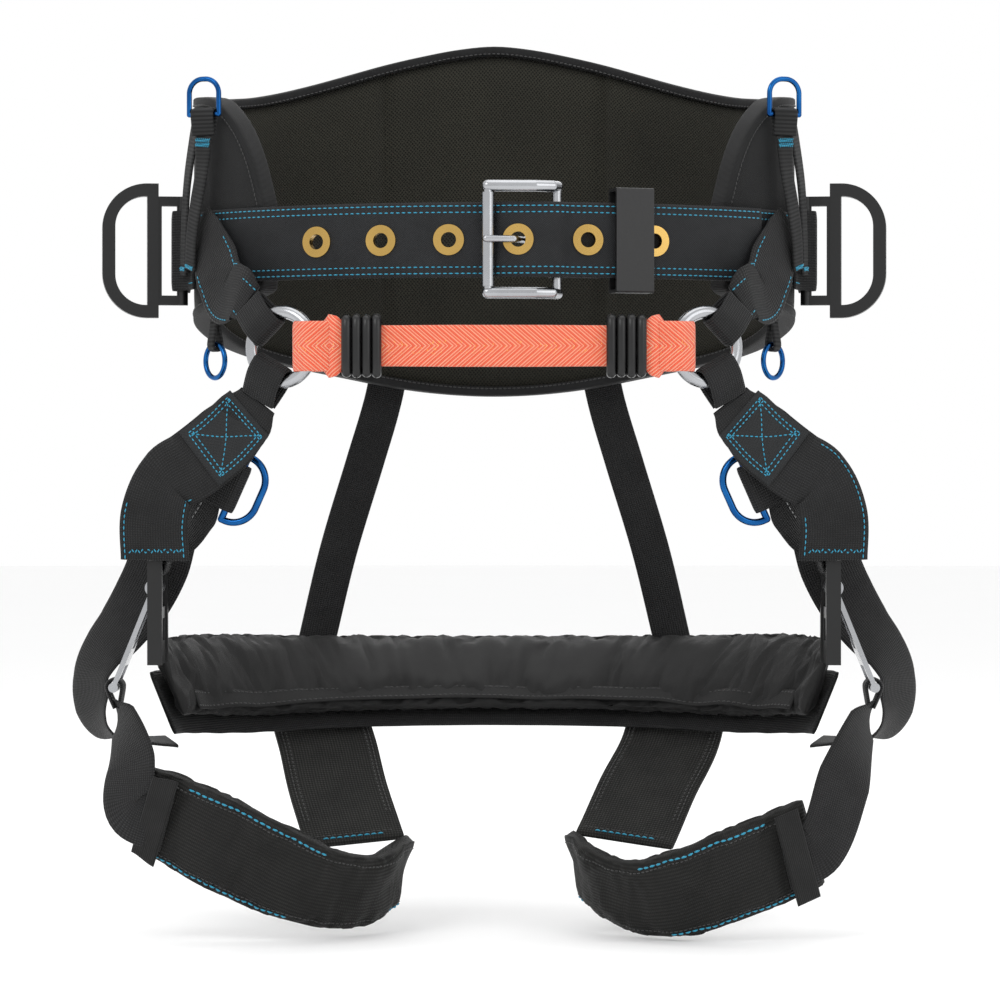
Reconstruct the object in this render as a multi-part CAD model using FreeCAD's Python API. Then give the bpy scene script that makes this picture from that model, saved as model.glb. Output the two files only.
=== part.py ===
import FreeCAD, Part
import math
import os

# Work-positioning sit harness, in millimetres.
# Origin: centre of the waist opening at the belt's mid height.
# +X is the side that the belt's tail points to, +Y is the wearer's back, +Z is up.

V = FreeCAD.Vector

# ---------------------------------------------------------------- waist line
FRONT_RADIUS = 260.0        # plan radius of the belt across the front
FRONT_SWEEP = 36.0          # degrees of that arc on each side
HIP_FRONT_RADIUS = 90.0     # front quarter of each hip
HIP_FRONT_SWEEP = 54.0
HIP_BACK_RADIUS = 95.0      # back quarter of each hip
HIP_BACK_SWEEP = 60.0
BACK_SWEEP = 180.0 - FRONT_SWEEP - HIP_FRONT_SWEEP - HIP_BACK_SWEEP

# ---------------------------------------------------------------- webbing and clearances
BELT_WIDTH = 45.0
BELT_THICK = 2.6
WEB_WIDTH = 43.0            # hip, leg and seat webbing
WEB_THICK = 2.4
RIB_WIDTH = 13.0            # narrow ribbed straps at the hips
RIB_THICK = 2.0
RISER_WIDTH = 25.0
GAP = 0.4                   # between pieces that lie on each other
FREE = 0.7                  # around hardware that swings in a web loop
RUN_FIT = 0.07              # radial, for tubes that turn on a bar

# ---------------------------------------------------------------- back pad
PAD_SHELL = 1.6
PAD_FOAM = 10.0
PAD_LINER = 3.0
PAD_EDGE = 6.5              # width of the binding
PAD_EDGE_PROUD = 0.5
PAD_END = 152.0             # run from the front centre to the wing's front end
PAD_TOP = 142.0             # top of the pad at the back centre
PAD_BOTTOM = -88.0
# share of the way from the wing end to the back centre, top and bottom as
# shares of PAD_TOP and PAD_BOTTOM
PAD_SHAPE = [
    (0.00, 0.20, 0.33), (0.02, 0.36, 0.36), (0.05, 0.50, 0.39), (0.09, 0.60, 0.41),
    (0.14, 0.66, 0.43), (0.22, 0.675, 0.47), (0.32, 0.69, 0.55), (0.42, 0.71, 0.65),
    (0.516, 0.735, 0.74), (0.60, 0.78, 0.80), (0.68, 0.835, 0.85), (0.76, 0.893, 0.91),
    (0.83, 0.937, 0.955), (0.90, 0.973, 0.984), (0.95, 0.992, 0.996), (1.00, 1.00, 1.00),
]

# ---------------------------------------------------------------- belt and buckle
TONGUE_END = 172.0          # run of the tongue's tail end
BELT_HIP_END = 208.0        # run at which both halves are sewn to the back web
GROMMET_PITCH = 41.2
GROMMET_COUNT = 6
GROMMET_OUTER = 18.6
GROMMET_HOLE = 9.2
GROMMET_FLANGE = 0.8
BUCKLED_HOLE_RUN = 14.2     # run of the grommet that the prong is in
BUCKLED_HOLE = 3            # its number, from the buckle's root end
FRAME_LENGTH = 49.0         # along the belt
FRAME_HEIGHT = 71.0
FRAME_BAR = 7.0
FRAME_LEFT = -7.5           # run of the frame's left outer face
ROLLER_WALL = 1.1
PIVOT_BAR = 5.6
PRONG = 4.2
KEEPER_RUN = 83.0
KEEPER_WIDTH = 24.0
KEEPER_HEIGHT = 63.0
KEEPER_WALL = 2.0
KEEPER_SLACK = 1.4

# ---------------------------------------------------------------- rings
SIDE_RING_RUN = 236.0
SIDE_RING_HEIGHT = 84.0
SIDE_RING_REACH = 50.0
SIDE_RING_BAR = 8.0
SIDE_RING_THICK = 8.0
SIDE_BASE_HEIGHT = 68.0
SIDE_BASE_DEPTH = 15.0
SIDE_HINGE_BAR = 7.0
BRIDGE_RING_OUTER = 50.0
BRIDGE_RING_BAR = 8.0
BRIDGE_RING = V(127.5, -114.0, -64.0)
BRIDGE_WIDTH = 25.0
BRIDGE_THICK = 4.0
BRIDGE_LOOP_WIDTH = 24.0
BAND_BAR = 6.0
BAND_COUNT = 4
BAND_HEIGHT = 39.0
BAND_RUN = 79.0             # middle of the bands, from the centre
TOP_RING_WIDTH = 23.0
TOP_RING_HEIGHT = 25.0
TOP_RING_BAR = 3.2
TOP_RING_Z = 81.0           # height of the bar that its strap hangs from
TOP_RING_FACE = V(0.35, -0.937, 0)
GEAR_RING_OUTER = 24.0
GEAR_RING_BAR = 3.2
GEAR_RING_RUN = 188.0
GEAR_LOOP_Z = -60.0
THIGH_RING_WIDTH = 46.0
THIGH_RING_REACH = 21.0
THIGH_RING_BAR = 4.4

# ---------------------------------------------------------------- seat
SEAT_HALF = 200.0           # half the width of the seat between its ends
SEAT_END_Y = -15.0
SEAT_DEPTH = 128.0          # from the ends back to the middle
SEAT_Z = -266.0
SEAT_WIDTH = 74.0
SEAT_END_WIDTH = 50.0
SEAT_TILT = 35.0            # degrees from level, at the back
SEAT_END_TILT = 68.0
SEAT_FOAM = 12.0
SEAT_COVER = 1.2
SEAT_STRAP_WIDTH = 62.0
RISER_TOP = V(70.0, 110.0, -70.0)

# ---------------------------------------------------------------- thigh buckles and leg loops
PIN_LENGTH = 38.0
PIN_DIAMETER = 6.0
BUCKLE_PIN = V(206.5, -52.0, -207.0)
BUCKLE_FRAME_HEIGHT = 50.0
BUCKLE_FRAME_THICK = 4.0
PLATE_LENGTH = 66.0
PLATE_WIDTH = 30.0
PLATE_THICK = 3.0
PLATE_BAR = 6.0
PLATE_LEAN = 22.0           # degrees outwards from straight down
LEG_PAD_THICK = 13.0
LEG_SLEEVE_THICK = 5.0
LEG_ELASTIC_WIDTH = 22.0


# ================================================================ helpers
def waist_arcs():
    """Arcs of the waist line from the front centre round one side: radius, start heading, sweep."""
    x = 0.0
    heading = 0.0
    arcs = []
    for radius, sweep in ((FRONT_RADIUS, FRONT_SWEEP), (HIP_FRONT_RADIUS, HIP_FRONT_SWEEP),
                          (HIP_BACK_RADIUS, HIP_BACK_SWEEP)):
        a, b = math.radians(heading), math.radians(heading + sweep)
        x += radius * (math.sin(b) - math.sin(a))
        arcs.append((radius, a, b))
        heading += sweep
    back_radius = x / math.sin(math.radians(heading))
    arcs.append((back_radius, math.radians(heading), math.pi))
    return arcs


ARCS = waist_arcs()
HALF_RUN = sum(radius * (b - a) for radius, a, b in ARCS)
DEPTH = sum(radius * (math.cos(a) - math.cos(b)) for radius, a, b in ARCS)


def waist(run, out=0.0, z=0.0):
    """The point at a run along the waist line, out from it, and the outward direction there."""
    if run > HALF_RUN:
        run -= 2 * HALF_RUN
    side = 1.0 if run >= 0 else -1.0
    left = abs(run)
    x, y = 0.0, -DEPTH / 2
    angle = 0.0
    for radius, a, b in ARCS:
        length = radius * (b - a)
        step = min(left, length)
        angle = a + step / radius
        x += radius * (math.sin(angle) - math.sin(a))
        y += radius * (math.cos(a) - math.cos(angle))
        left -= step
        if left <= 0:
            break
    normal = V(side * math.sin(angle), -math.cos(angle), 0)
    return V(side * x, y, z) + normal * out, normal


def waist_way(run):
    """The direction of growing run at a run."""
    n = waist(run)[1]
    return V(-n.y, n.x, 0)


def mirrored(shape):
    return shape.mirror(V(0, 0, 0), V(1, 0, 0))


def flipped(vector):
    return V(-vector.x, vector.y, vector.z)


def quad(corners):
    return Part.makePolygon(corners + [corners[0]])


def slab(sections):
    """A solid through four-cornered sections."""
    solid = Part.makeLoft([quad(s) for s in sections], True, True)
    if solid.Volume < 0:
        solid = Part.makeSolid(solid.Shells[0].reversed())
    return solid


def web(stations, thick, lift=0.0, shift=0.0):
    """Flat webbing through (point, outward direction, width).

    lift moves it outwards and shift moves it across.
    """
    points = [V(p) for p, n, w in stations]
    sections = []
    for i, (p, n, w) in enumerate(stations):
        way = points[min(i + 1, len(points) - 1)] - points[max(i - 1, 0)]
        across = way.cross(n).normalize()
        face = across.cross(way).normalize()
        low = V(p) + face * lift + across * shift
        high = low + face * thick
        half = across * (w / 2)
        sections.append([low - half, low + half, high + half, high - half])
    return slab(sections)


def round_waist(first, last, step, inner, outer, low, high):
    """A band round the waist line; low and high may be functions of the run."""
    count = max(2, int(math.ceil(abs(last - first) / step)))
    sections = []
    for i in range(count + 1):
        run = first + (last - first) * i / count
        z0 = low(run) if callable(low) else low
        z1 = high(run) if callable(high) else high
        a, n = waist(run, inner)
        b, n = waist(run, outer)
        sections.append([V(a.x, a.y, z0), V(b.x, b.y, z0), V(b.x, b.y, z1), V(a.x, a.y, z1)])
    return slab(sections)


def rod(a, b, diameter):
    way = V(b) - V(a)
    return Part.makeCylinder(diameter / 2, way.Length, V(a), way)


def bent_bar(points, diameter):
    """A round bar along straight runs with rounded corners."""
    shape = rod(points[0], points[1], diameter)
    for a, b in zip(points[1:], points[2:]):
        shape = shape.fuse(Part.makeSphere(diameter / 2, V(a)))
        shape = shape.fuse(rod(a, b, diameter))
    return shape.removeSplitter()


def placed(shape, origin, x_way, z_way):
    """Move a shape made about the world axes so that X and Z lie along the given directions."""
    z = V(z_way).normalize()
    y = z.cross(V(x_way)).normalize()
    x = y.cross(z)
    matrix = FreeCAD.Matrix(x.x, y.x, z.x, origin.x, x.y, y.y, z.y, origin.y,
                            x.z, y.z, z.z, origin.z, 0, 0, 0, 1)
    return shape.transformed(matrix, copy=True)


def torus(centre, axis, outer, bar):
    return Part.makeTorus(outer / 2 - bar / 2, bar / 2, V(centre), V(axis))


def d_ring(width, reach, bar):
    """A D-shaped ring: its straight bar along Y through the origin, its bow towards +X."""
    half = width / 2 - bar / 2
    corner = min(half, reach - bar) * 0.9
    bow = Part.makeTorus(corner, bar / 2, V(0, 0, 0), V(0, 0, 1), 0, 360, 90)
    depth = reach - bar
    quarter_a = bow.copy()
    quarter_a.translate(V(depth - corner, half - corner, 0))
    quarter_b = bow.mirror(V(0, 0, 0), V(0, 1, 0))
    quarter_b.translate(V(depth - corner, corner - half, 0))
    shape = rod(V(0, -half, 0), V(0, half, 0), bar)
    for side in (-1, 1):
        shape = shape.fuse(Part.makeSphere(bar / 2, V(0, side * half, 0)))
        if depth - corner > 0.05:
            shape = shape.fuse(rod(V(0, side * half, 0), V(depth - corner, side * half, 0), bar))
    if half - corner > 0.05:
        shape = shape.fuse(rod(V(depth, corner - half, 0), V(depth, half - corner, 0), bar))
    return shape.fuse(quarter_a).fuse(quarter_b).removeSplitter()


def web_loop(bar, width, leg, thick=WEB_THICK, bow=0.0):
    """A web sewn back on itself round a bar along Y at the origin; its legs meet at x = leg.

    bow is how far a curved bar strays towards -X at the loop's edges.
    """
    def outline(radius, tip, end):
        path = [Part.Arc(V(-bow, 0, radius), V(-bow - radius, 0, 0), V(-bow, 0, -radius)).toShape()]
        corners = [V(-bow, 0, -radius), V(radius / 2, 0, -radius), V(tip, 0, -end)]
        corners += [V(tip, 0, end), V(radius / 2, 0, radius), V(-bow, 0, radius)]
        for a, b in zip(corners, corners[1:]):
            if (b - a).Length > 1e-6:
                path.append(Part.makeLine(a, b))
        solid = Part.Face(Part.Wire(path)).extrude(V(0, width, 0))
        solid.translate(V(0, -width / 2, 0))
        return solid

    inner = bar / 2 + FREE
    return outline(inner + thick, leg, thick).cut(outline(inner, leg * 0.86, 0.0))


parts = {}


def both(name, shape):
    """A piece on the right and its mirror image on the left."""
    parts["right_" + name] = shape
    parts["left_" + name] = mirrored(shape)


# ================================================================ back pad
def pad_share(run, column):
    """Top or bottom of the pad, as a share of its greatest, at a run."""
    if run > HALF_RUN:
        run -= 2 * HALF_RUN
    share = (abs(run) - PAD_END) / (HALF_RUN - PAD_END)
    share = min(max(share, 0.0), 1.0)
    for a, b in zip(PAD_SHAPE, PAD_SHAPE[1:]):
        if share <= b[0]:
            part = (share - a[0]) / (b[0] - a[0])
            return a[column] + (b[column] - a[column]) * part
    return PAD_SHAPE[-1][column]


def pad_runs(inset):
    """Runs of the pad's sections, close together at the wings' ends."""
    first = PAD_END + inset
    last = 2 * HALF_RUN - first
    ends = [first + step for step in (0, 8, 18, 30, 46)]
    count = 24
    middle = [ends[-1] + (last - first - 92) * i / count for i in range(1, count)]
    return ends + middle + [last - step for step in (46, 30, 18, 8, 0)]


def pad_layer(inner, outer, inset):
    sections = []
    for run in pad_runs(inset):
        a = waist(run, inner)[0]
        b = waist(run, outer)[0]
        low = PAD_BOTTOM * pad_share(run, 2) + inset
        high = PAD_TOP * pad_share(run, 1) - inset
        sections.append([V(a.x, a.y, low), V(b.x, b.y, low), V(b.x, b.y, high), V(a.x, a.y, high)])
    return slab(sections)


pad_face = -GAP - PAD_EDGE_PROUD
pad_foam_face = pad_face - PAD_SHELL
pad_liner_face = pad_foam_face - PAD_FOAM
pad_inside = pad_liner_face - PAD_LINER
parts["back_pad_shell"] = pad_layer(pad_foam_face, pad_face, PAD_EDGE)
parts["back_pad_foam"] = pad_layer(pad_liner_face, pad_foam_face, PAD_EDGE)
parts["back_pad_liner"] = pad_layer(pad_inside, pad_liner_face, PAD_EDGE)
pad_outline = pad_layer(pad_inside - PAD_EDGE_PROUD, pad_face + PAD_EDGE_PROUD, 0.0)
parts["back_pad_binding"] = pad_outline.cut(pad_layer(pad_inside - 2, pad_face + 2, PAD_EDGE))

# ================================================================ buckle
frame_run = FRAME_LEFT + FRAME_LENGTH / 2
frame_origin, frame_out = waist(frame_run)
frame_way = waist_way(frame_run)
bar_reach = FRAME_LENGTH / 2 - FRAME_BAR / 2
roller_radius = FRAME_BAR / 2 + 0.3
core_radius = roller_radius - ROLLER_WALL - RUN_FIT


def dip(along):
    """How far the belt's curve falls below the buckle's flat plane."""
    return along * along / (2 * FRONT_RADIUS)


def buckle(along, out, z=0.0):
    return frame_origin + frame_way * along + frame_out * out + V(0, 0, z)


left_out = BELT_THICK + roller_radius + GAP - dip(bar_reach)
pivot_out = -GAP / 2 - dip(bar_reach)
bar_z = FRAME_HEIGHT / 2 - FRAME_BAR / 2
frame = rod(buckle(-bar_reach, left_out, -bar_z), buckle(-bar_reach, left_out, bar_z), 2 * core_radius)
frame = frame.fuse(rod(buckle(bar_reach, pivot_out, -bar_z), buckle(bar_reach, pivot_out, bar_z), PIVOT_BAR))
for side in (-1, 1):
    z = side * bar_z
    arm = [buckle(-bar_reach, left_out, z), buckle(bar_reach * 0.35, left_out, z),
           buckle(bar_reach * 0.85, (left_out + pivot_out) * 0.62, z), buckle(bar_reach, pivot_out, z)]
    frame = frame.fuse(bent_bar(arm, FRAME_BAR))
    for end in (arm[0], arm[-1]):
        frame = frame.fuse(Part.makeSphere(FRAME_BAR / 2, end))
parts["buckle_frame"] = frame.removeSplitter()
roller_reach = bar_z - FRAME_BAR / 2 - GAP
roller_ends = [buckle(-bar_reach, left_out, z) for z in (-roller_reach, roller_reach)]
parts["buckle_roller"] = rod(roller_ends[0], roller_ends[1], 2 * roller_radius).cut(
    rod(roller_ends[0], roller_ends[1], 2 * (core_radius + RUN_FIT)))

hole_along = BUCKLED_HOLE_RUN - frame_run
hole_out = 5.6
tip_out = left_out + roller_radius + PRONG / 2 + GAP
hub = Part.makeCylinder(PIVOT_BAR / 2 + 2.0, 6.0, buckle(bar_reach, pivot_out, -3.0))
prong = bent_bar([buckle(bar_reach, pivot_out), buckle(hole_along + 3.4, pivot_out + 0.9),
                  buckle(hole_along - 3.0, hole_out + 4.4), buckle(-bar_reach - 1.5, tip_out)], PRONG)
prong = prong.fuse(Part.makeSphere(PRONG / 2, buckle(-bar_reach - 1.5, tip_out))).fuse(hub)
parts["buckle_prong"] = prong.cut(
    Part.makeCylinder(PIVOT_BAR / 2 + RUN_FIT, 8.0, buckle(bar_reach, pivot_out, -4.0))).removeSplitter()

# ================================================================ belt
loop_radius = PIVOT_BAR / 2 + FREE + BELT_THICK / 2 + 0.15
belt = [(buckle(46, -GAP - BELT_THICK / 2 - dip(46)), -frame_out, BELT_WIDTH),
        (buckle(34, -GAP - BELT_THICK / 2 - dip(34) - 0.1), -frame_out, BELT_WIDTH),
        (buckle(bar_reach + 7.0, pivot_out - 3.4), -frame_out, BELT_WIDTH)]
for degrees in (285, 250, 215, 180, 145, 110, 75):
    angle = math.radians(degrees)
    way = frame_way * math.cos(angle) + frame_out * math.sin(angle)
    centre = buckle(bar_reach, pivot_out)
    belt.append((centre + way * loop_radius, way, BELT_WIDTH))
belt.append((buckle(bar_reach + 7.0, BELT_THICK / 2 - dip(bar_reach + 7.0) + 0.3), frame_out, BELT_WIDTH))
belt.append((buckle(34, BELT_THICK / 2 - dip(34)), frame_out, BELT_WIDTH))
run = frame_run + 44
while run < BELT_HIP_END + 0.1:
    belt.append((waist(run, BELT_THICK / 2)[0], waist(run)[1], BELT_WIDTH))
    run += (BELT_HIP_END - frame_run - 44) / 10
prong_slot = Part.makeBox(13.5, 20, 8.2, V(-7, -10, -4.1))
prong_slot = placed(prong_slot, buckle(bar_reach, pivot_out), frame_way, V(0, 0, 1))
parts["belt_right"] = web(belt, BELT_THICK, -BELT_THICK / 2).cut(prong_slot)

tongue_lift = BELT_THICK + GROMMET_FLANGE + 0.5 + BELT_THICK / 2
grommet_runs = [BUCKLED_HOLE_RUN + GROMMET_PITCH * (i - BUCKLED_HOLE) for i in range(GROMMET_COUNT)]
flat = GROMMET_OUTER / 2 + 1.5
tongue_points = []
run = -BELT_HIP_END
while run < grommet_runs[0] - flat - 5:
    tongue_points.append((run, BELT_THICK / 2))
    run += 14
for i, run in enumerate(grommet_runs):
    if i < BUCKLED_HOLE:
        tongue_points += [(run - flat, BELT_THICK / 2), (run + flat, BELT_THICK / 2)]
tongue_points.append(None)
for i, run in enumerate(grommet_runs):
    if i > BUCKLED_HOLE:
        tongue_points += [(run - flat, tongue_lift), (run + flat, tongue_lift)]
run = grommet_runs[-1] + flat + 14
while run < TONGUE_END - 5:
    tongue_points.append((run, tongue_lift))
    run += 14
tongue_points.append((TONGUE_END, tongue_lift))
climb = [(-bar_reach - 4, BELT_THICK / 2 - dip(bar_reach) - 0.2), (-bar_reach + 3, BELT_THICK / 2 - 0.3),
         (hole_along - flat, hole_out - 1.6), (hole_along + flat, hole_out + 1.6),
         (bar_reach, pivot_out + loop_radius + BELT_THICK + GAP + 1.1)]
tongue = []
for item in tongue_points:
    if item is None:
        tongue += [(buckle(along, out), frame_out, BELT_WIDTH) for along, out in climb]
    else:
        tongue.append((waist(item[0], item[1])[0], waist(item[0])[1], BELT_WIDTH))
strap = web(tongue, BELT_THICK, -BELT_THICK / 2)
barrel = GROMMET_HOLE + 1.4
grommets = []
for i, run in enumerate(grommet_runs):
    if i == BUCKLED_HOLE:
        centre = buckle(hole_along, hole_out)
        along = (buckle(climb[3][0], climb[3][1]) - buckle(climb[2][0], climb[2][1])).normalize()
    else:
        lift = BELT_THICK / 2 if i < BUCKLED_HOLE else tongue_lift
        a, b = waist(run - flat, lift)[0], waist(run + flat, lift)[0]
        centre = (a + b) * 0.5
        along = (b - a).normalize()
    out = V(along.y, -along.x, 0)
    reach = BELT_THICK / 2 + 0.1
    strap = strap.cut(Part.makeCylinder(barrel / 2, 12, centre - out * 6, out))
    ring = Part.makeCylinder(barrel / 2 - 0.05, 2 * reach, centre - out * reach, out)
    for side in (-1, 1):
        ring = ring.fuse(Part.makeCylinder(GROMMET_OUTER / 2, GROMMET_FLANGE, centre + out * (side * reach),
                                           out * side))
    grommets.append(ring.cut(Part.makeCylinder(GROMMET_HOLE / 2, 12, centre - out * 6, out)))
parts["belt_tongue"] = strap
parts["belt_grommets"] = Part.makeCompound(grommets)
parts["belt_back_web"] = round_waist(BELT_HIP_END + 1, 2 * HALF_RUN - BELT_HIP_END - 1, 20, 0, BELT_THICK,
                                     -BELT_WIDTH / 2, BELT_WIDTH / 2)

keeper_out = waist(KEEPER_RUN)[1]
keeper_way = waist_way(KEEPER_RUN)
keeper_depth = BELT_THICK + tongue_lift + GROMMET_FLANGE + 2 * KEEPER_SLACK - BELT_THICK / 2
keeper_outer = Part.makeBox(KEEPER_WIDTH, keeper_depth + 2 * KEEPER_WALL, KEEPER_HEIGHT)
keeper_outer.translate(V(-KEEPER_WIDTH / 2, -KEEPER_WALL, -KEEPER_HEIGHT / 2))
keeper_hole = Part.makeBox(KEEPER_WIDTH + 2, keeper_depth, KEEPER_HEIGHT - 2 * KEEPER_WALL)
keeper_hole.translate(V(-KEEPER_WIDTH / 2 - 1, 0, -KEEPER_HEIGHT / 2 + KEEPER_WALL))
keeper = keeper_outer.cut(keeper_hole)
keeper = keeper.makeFillet(1.2, [e for e in keeper.Edges if abs(e.BoundBox.XLength - KEEPER_WIDTH) < 0.01])
keeper.rotate(V(0, 0, 0), V(0, 0, 1), 180)
parts["belt_keeper"] = placed(keeper, waist(KEEPER_RUN, -KEEPER_SLACK)[0], keeper_way, V(0, 0, 1))

# ================================================================ side rings
side_axis_out = BELT_THICK + GAP + SIDE_HINGE_BAR / 2
side_axis, side_out = waist(SIDE_RING_RUN, side_axis_out)
side_way = waist_way(SIDE_RING_RUN)


def side_frame(shape):
    """Local X points out from the hip and Z is up."""
    return placed(shape, side_axis, side_out, V(0, 0, 1))


def plate(x0, x1, half, thick, corner):
    shape = Part.makeBox(x1 - x0, thick, 2 * half, V(x0, -thick / 2, -half))
    if corner:
        edges = [e for e in shape.Edges if abs(e.BoundBox.YLength - thick) < 0.01 and e.BoundBox.XMin > x0 + 0.1]
        shape = shape.makeFillet(min(corner, 0.95 * (x1 - x0), 0.95 * half), edges)
    return shape


half_ring = SIDE_RING_HEIGHT / 2
half_base = SIDE_BASE_HEIGHT / 2
ring = plate(SIDE_BASE_DEPTH, SIDE_RING_REACH, half_ring, SIDE_RING_THICK, SIDE_RING_REACH * 0.56)
window = plate(SIDE_BASE_DEPTH + 7, SIDE_RING_REACH - SIDE_RING_BAR, half_ring - SIDE_RING_BAR,
               SIDE_RING_THICK + 4, SIDE_RING_REACH * 0.44)
ring = ring.cut(window)
base = plate(0, SIDE_BASE_DEPTH + 1, half_base, SIDE_HINGE_BAR - 1, 0)
base = base.cut(plate(-1, SIDE_BASE_DEPTH - 2, half_base - 6, SIDE_RING_THICK + 4, 0))
hinge_bar = Part.makeCylinder(SIDE_HINGE_BAR / 2, 2 * half_base, V(0, 0, -half_base))
both("side_ring", side_frame(ring.fuse(base).fuse(hinge_bar).removeSplitter()))

side_loop_mid = SIDE_HINGE_BAR / 2 + FREE + WEB_THICK / 2 + 0.3
flat_out = BELT_THICK + 0.2 + WEB_THICK / 2
side_loop = [(waist(SIDE_RING_RUN - 24, flat_out)[0], waist(SIDE_RING_RUN - 24)[1], 50.0),
             (waist(SIDE_RING_RUN - 11, flat_out)[0], waist(SIDE_RING_RUN - 11)[1], 50.0)]
for degrees in (160, 125, 90, 55, 20):
    angle = math.radians(degrees)
    way = side_way * math.cos(angle) + side_out * math.sin(angle)
    side_loop.append((side_axis + way * side_loop_mid, way, 50.0))
side_loop += [(waist(SIDE_RING_RUN + 11, flat_out)[0], waist(SIDE_RING_RUN + 11)[1], 50.0),
              (waist(SIDE_RING_RUN + 24, flat_out)[0], waist(SIDE_RING_RUN + 24)[1], 50.0)]
both("side_ring_loop", web(side_loop, WEB_THICK, -WEB_THICK / 2))

# ================================================================ bridge, its rings and the hip webs
RING_TURN = math.radians(28.0)
ring_h = V(math.cos(RING_TURN), math.sin(RING_TURN), 0)
ring_normal = V(math.sin(RING_TURN), -math.cos(RING_TURN), 0)
both("bridge_ring", torus(BRIDGE_RING, ring_normal, BRIDGE_RING_OUTER, BRIDGE_RING_BAR))
ring_middle = BRIDGE_RING_OUTER / 2 - BRIDGE_RING_BAR / 2
ring_inner = BRIDGE_RING_OUTER / 2 - BRIDGE_RING_BAR


def ring_loop(degrees, width, leg):
    """A web loop round the bridge ring at an angle from its outer side; also where its legs end."""
    angle = math.radians(degrees)
    way = ring_h * math.cos(angle) + V(0, 0, math.sin(angle))
    bow = ring_middle - math.sqrt(ring_inner ** 2 - (width / 2) ** 2) - BRIDGE_RING_BAR / 2
    loop = web_loop(BRIDGE_RING_BAR, width, leg, WEB_THICK, bow)
    centre = BRIDGE_RING + way * ring_middle
    return placed(loop, centre, way, ring_normal), centre + way * leg, way


hip_loop, hip_end, hip_way = ring_loop(48, 22.0, 16.0)
hip = [(hip_end - hip_way, ring_normal, 26.0),
       (hip_end + hip_way * 7 + V(1, 3, 0), ring_normal, 34.0),
       (waist(170, 10.6, -27)[0], waist(168)[1], WEB_WIDTH),
       (waist(178, 8.9, -14)[0], waist(178)[1], WEB_WIDTH),
       (waist(190, 6.3, 2)[0], waist(190)[1], WEB_WIDTH - 4),
       (waist(200, 4.8, 16)[0], waist(200)[1], WEB_WIDTH - 14)]
both("hip_web", web(hip, WEB_THICK, -WEB_THICK / 2).fuse(hip_loop))

bridge_loop, bridge_end, bridge_way = ring_loop(180, BRIDGE_LOOP_WIDTH, 13.0)
flare = bridge_end - bridge_way
bridge_y = flare.y - 3.5
half_bridge = [(flare, BRIDGE_LOOP_WIDTH), (V(flare.x - 4, flare.y - 2.2, flare.z), BRIDGE_WIDTH),
               (V(BAND_RUN + BAND_COUNT * BAND_BAR / 2 + 1.5, bridge_y, flare.z), BRIDGE_WIDTH),
               (V(BAND_RUN - BAND_COUNT * BAND_BAR / 2 - 3, bridge_y, flare.z), BRIDGE_WIDTH)]
bridge = [(flipped(p), V(0, -1, 0), w) for p, w in half_bridge]
bridge += [(p, V(0, -1, 0), w) for p, w in reversed(half_bridge)]
bridge_web = web(bridge, BRIDGE_THICK, -BRIDGE_THICK / 2)
parts["bridge_webbing"] = bridge_web.fuse(bridge_loop).fuse(mirrored(bridge_loop))
bands = []
band_depth = BRIDGE_THICK + 2 * BAND_BAR + 1.0
for i in range(BAND_COUNT):
    x = BAND_RUN + (i - (BAND_COUNT - 1) / 2) * BAND_BAR
    outer = Part.makeBox(BAND_BAR - 0.4, band_depth, BAND_HEIGHT, V(x - BAND_BAR / 2 + 0.2, -band_depth / 2,
                                                                    -BAND_HEIGHT / 2))
    hole = Part.makeBox(BAND_BAR + 2, BRIDGE_THICK + 1.0, BAND_HEIGHT - 2 * BAND_BAR,
                        V(x - BAND_BAR / 2 - 1, -BRIDGE_THICK / 2 - 0.5, -BAND_HEIGHT / 2 + BAND_BAR))
    band = outer.makeFillet(BAND_BAR * 0.4, [e for e in outer.Edges if e.BoundBox.XLength > BAND_BAR - 1]).cut(hole)
    band.translate(V(0, bridge_y, flare.z))
    bands.append(band)
band_joint = Part.makeBox((BAND_COUNT - 1) * BAND_BAR, band_depth - 2, BAND_HEIGHT - 2,
                          V(BAND_RUN - (BAND_COUNT - 1) * BAND_BAR / 2, bridge_y - band_depth / 2 + 1,
                            flare.z - BAND_HEIGHT / 2 + 1))
band_joint = band_joint.cut(Part.makeBox(60, BRIDGE_THICK + 1.0, BAND_HEIGHT - 2 * BAND_BAR,
                                         V(BAND_RUN - 30, bridge_y - BRIDGE_THICK / 2 - 0.5,
                                           flare.z - BAND_HEIGHT / 2 + BAND_BAR)))
both("bridge_bands", bands[0].multiFuse(bands[1:] + [band_joint]).removeSplitter())

# ================================================================ thigh buckles
lean = math.radians(PLATE_LEAN)
plate_way = V(math.sin(lean), 0, -math.cos(lean))
plate_face = V(math.cos(lean), 0, math.sin(lean))
pin = BUCKLE_PIN + V(2.5, 0, -3)
web_bar = BUCKLE_PIN + V(0, 0, 10)
rail = 5.0
frame_half = PIN_LENGTH / 2
buckle_frame = Part.makeBox(BUCKLE_FRAME_THICK + 1, PIN_LENGTH, BUCKLE_FRAME_HEIGHT * 0.7,
                            V(BUCKLE_PIN.x - BUCKLE_FRAME_THICK / 2, BUCKLE_PIN.y - frame_half,
                              BUCKLE_PIN.z - BUCKLE_FRAME_HEIGHT))
buckle_frame = buckle_frame.cut(Part.makeBox(20, PIN_LENGTH - 2 * rail, 14,
                                             V(BUCKLE_PIN.x - 10, BUCKLE_PIN.y - frame_half + rail,
                                               BUCKLE_PIN.z - BUCKLE_FRAME_HEIGHT + 14)))
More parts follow.
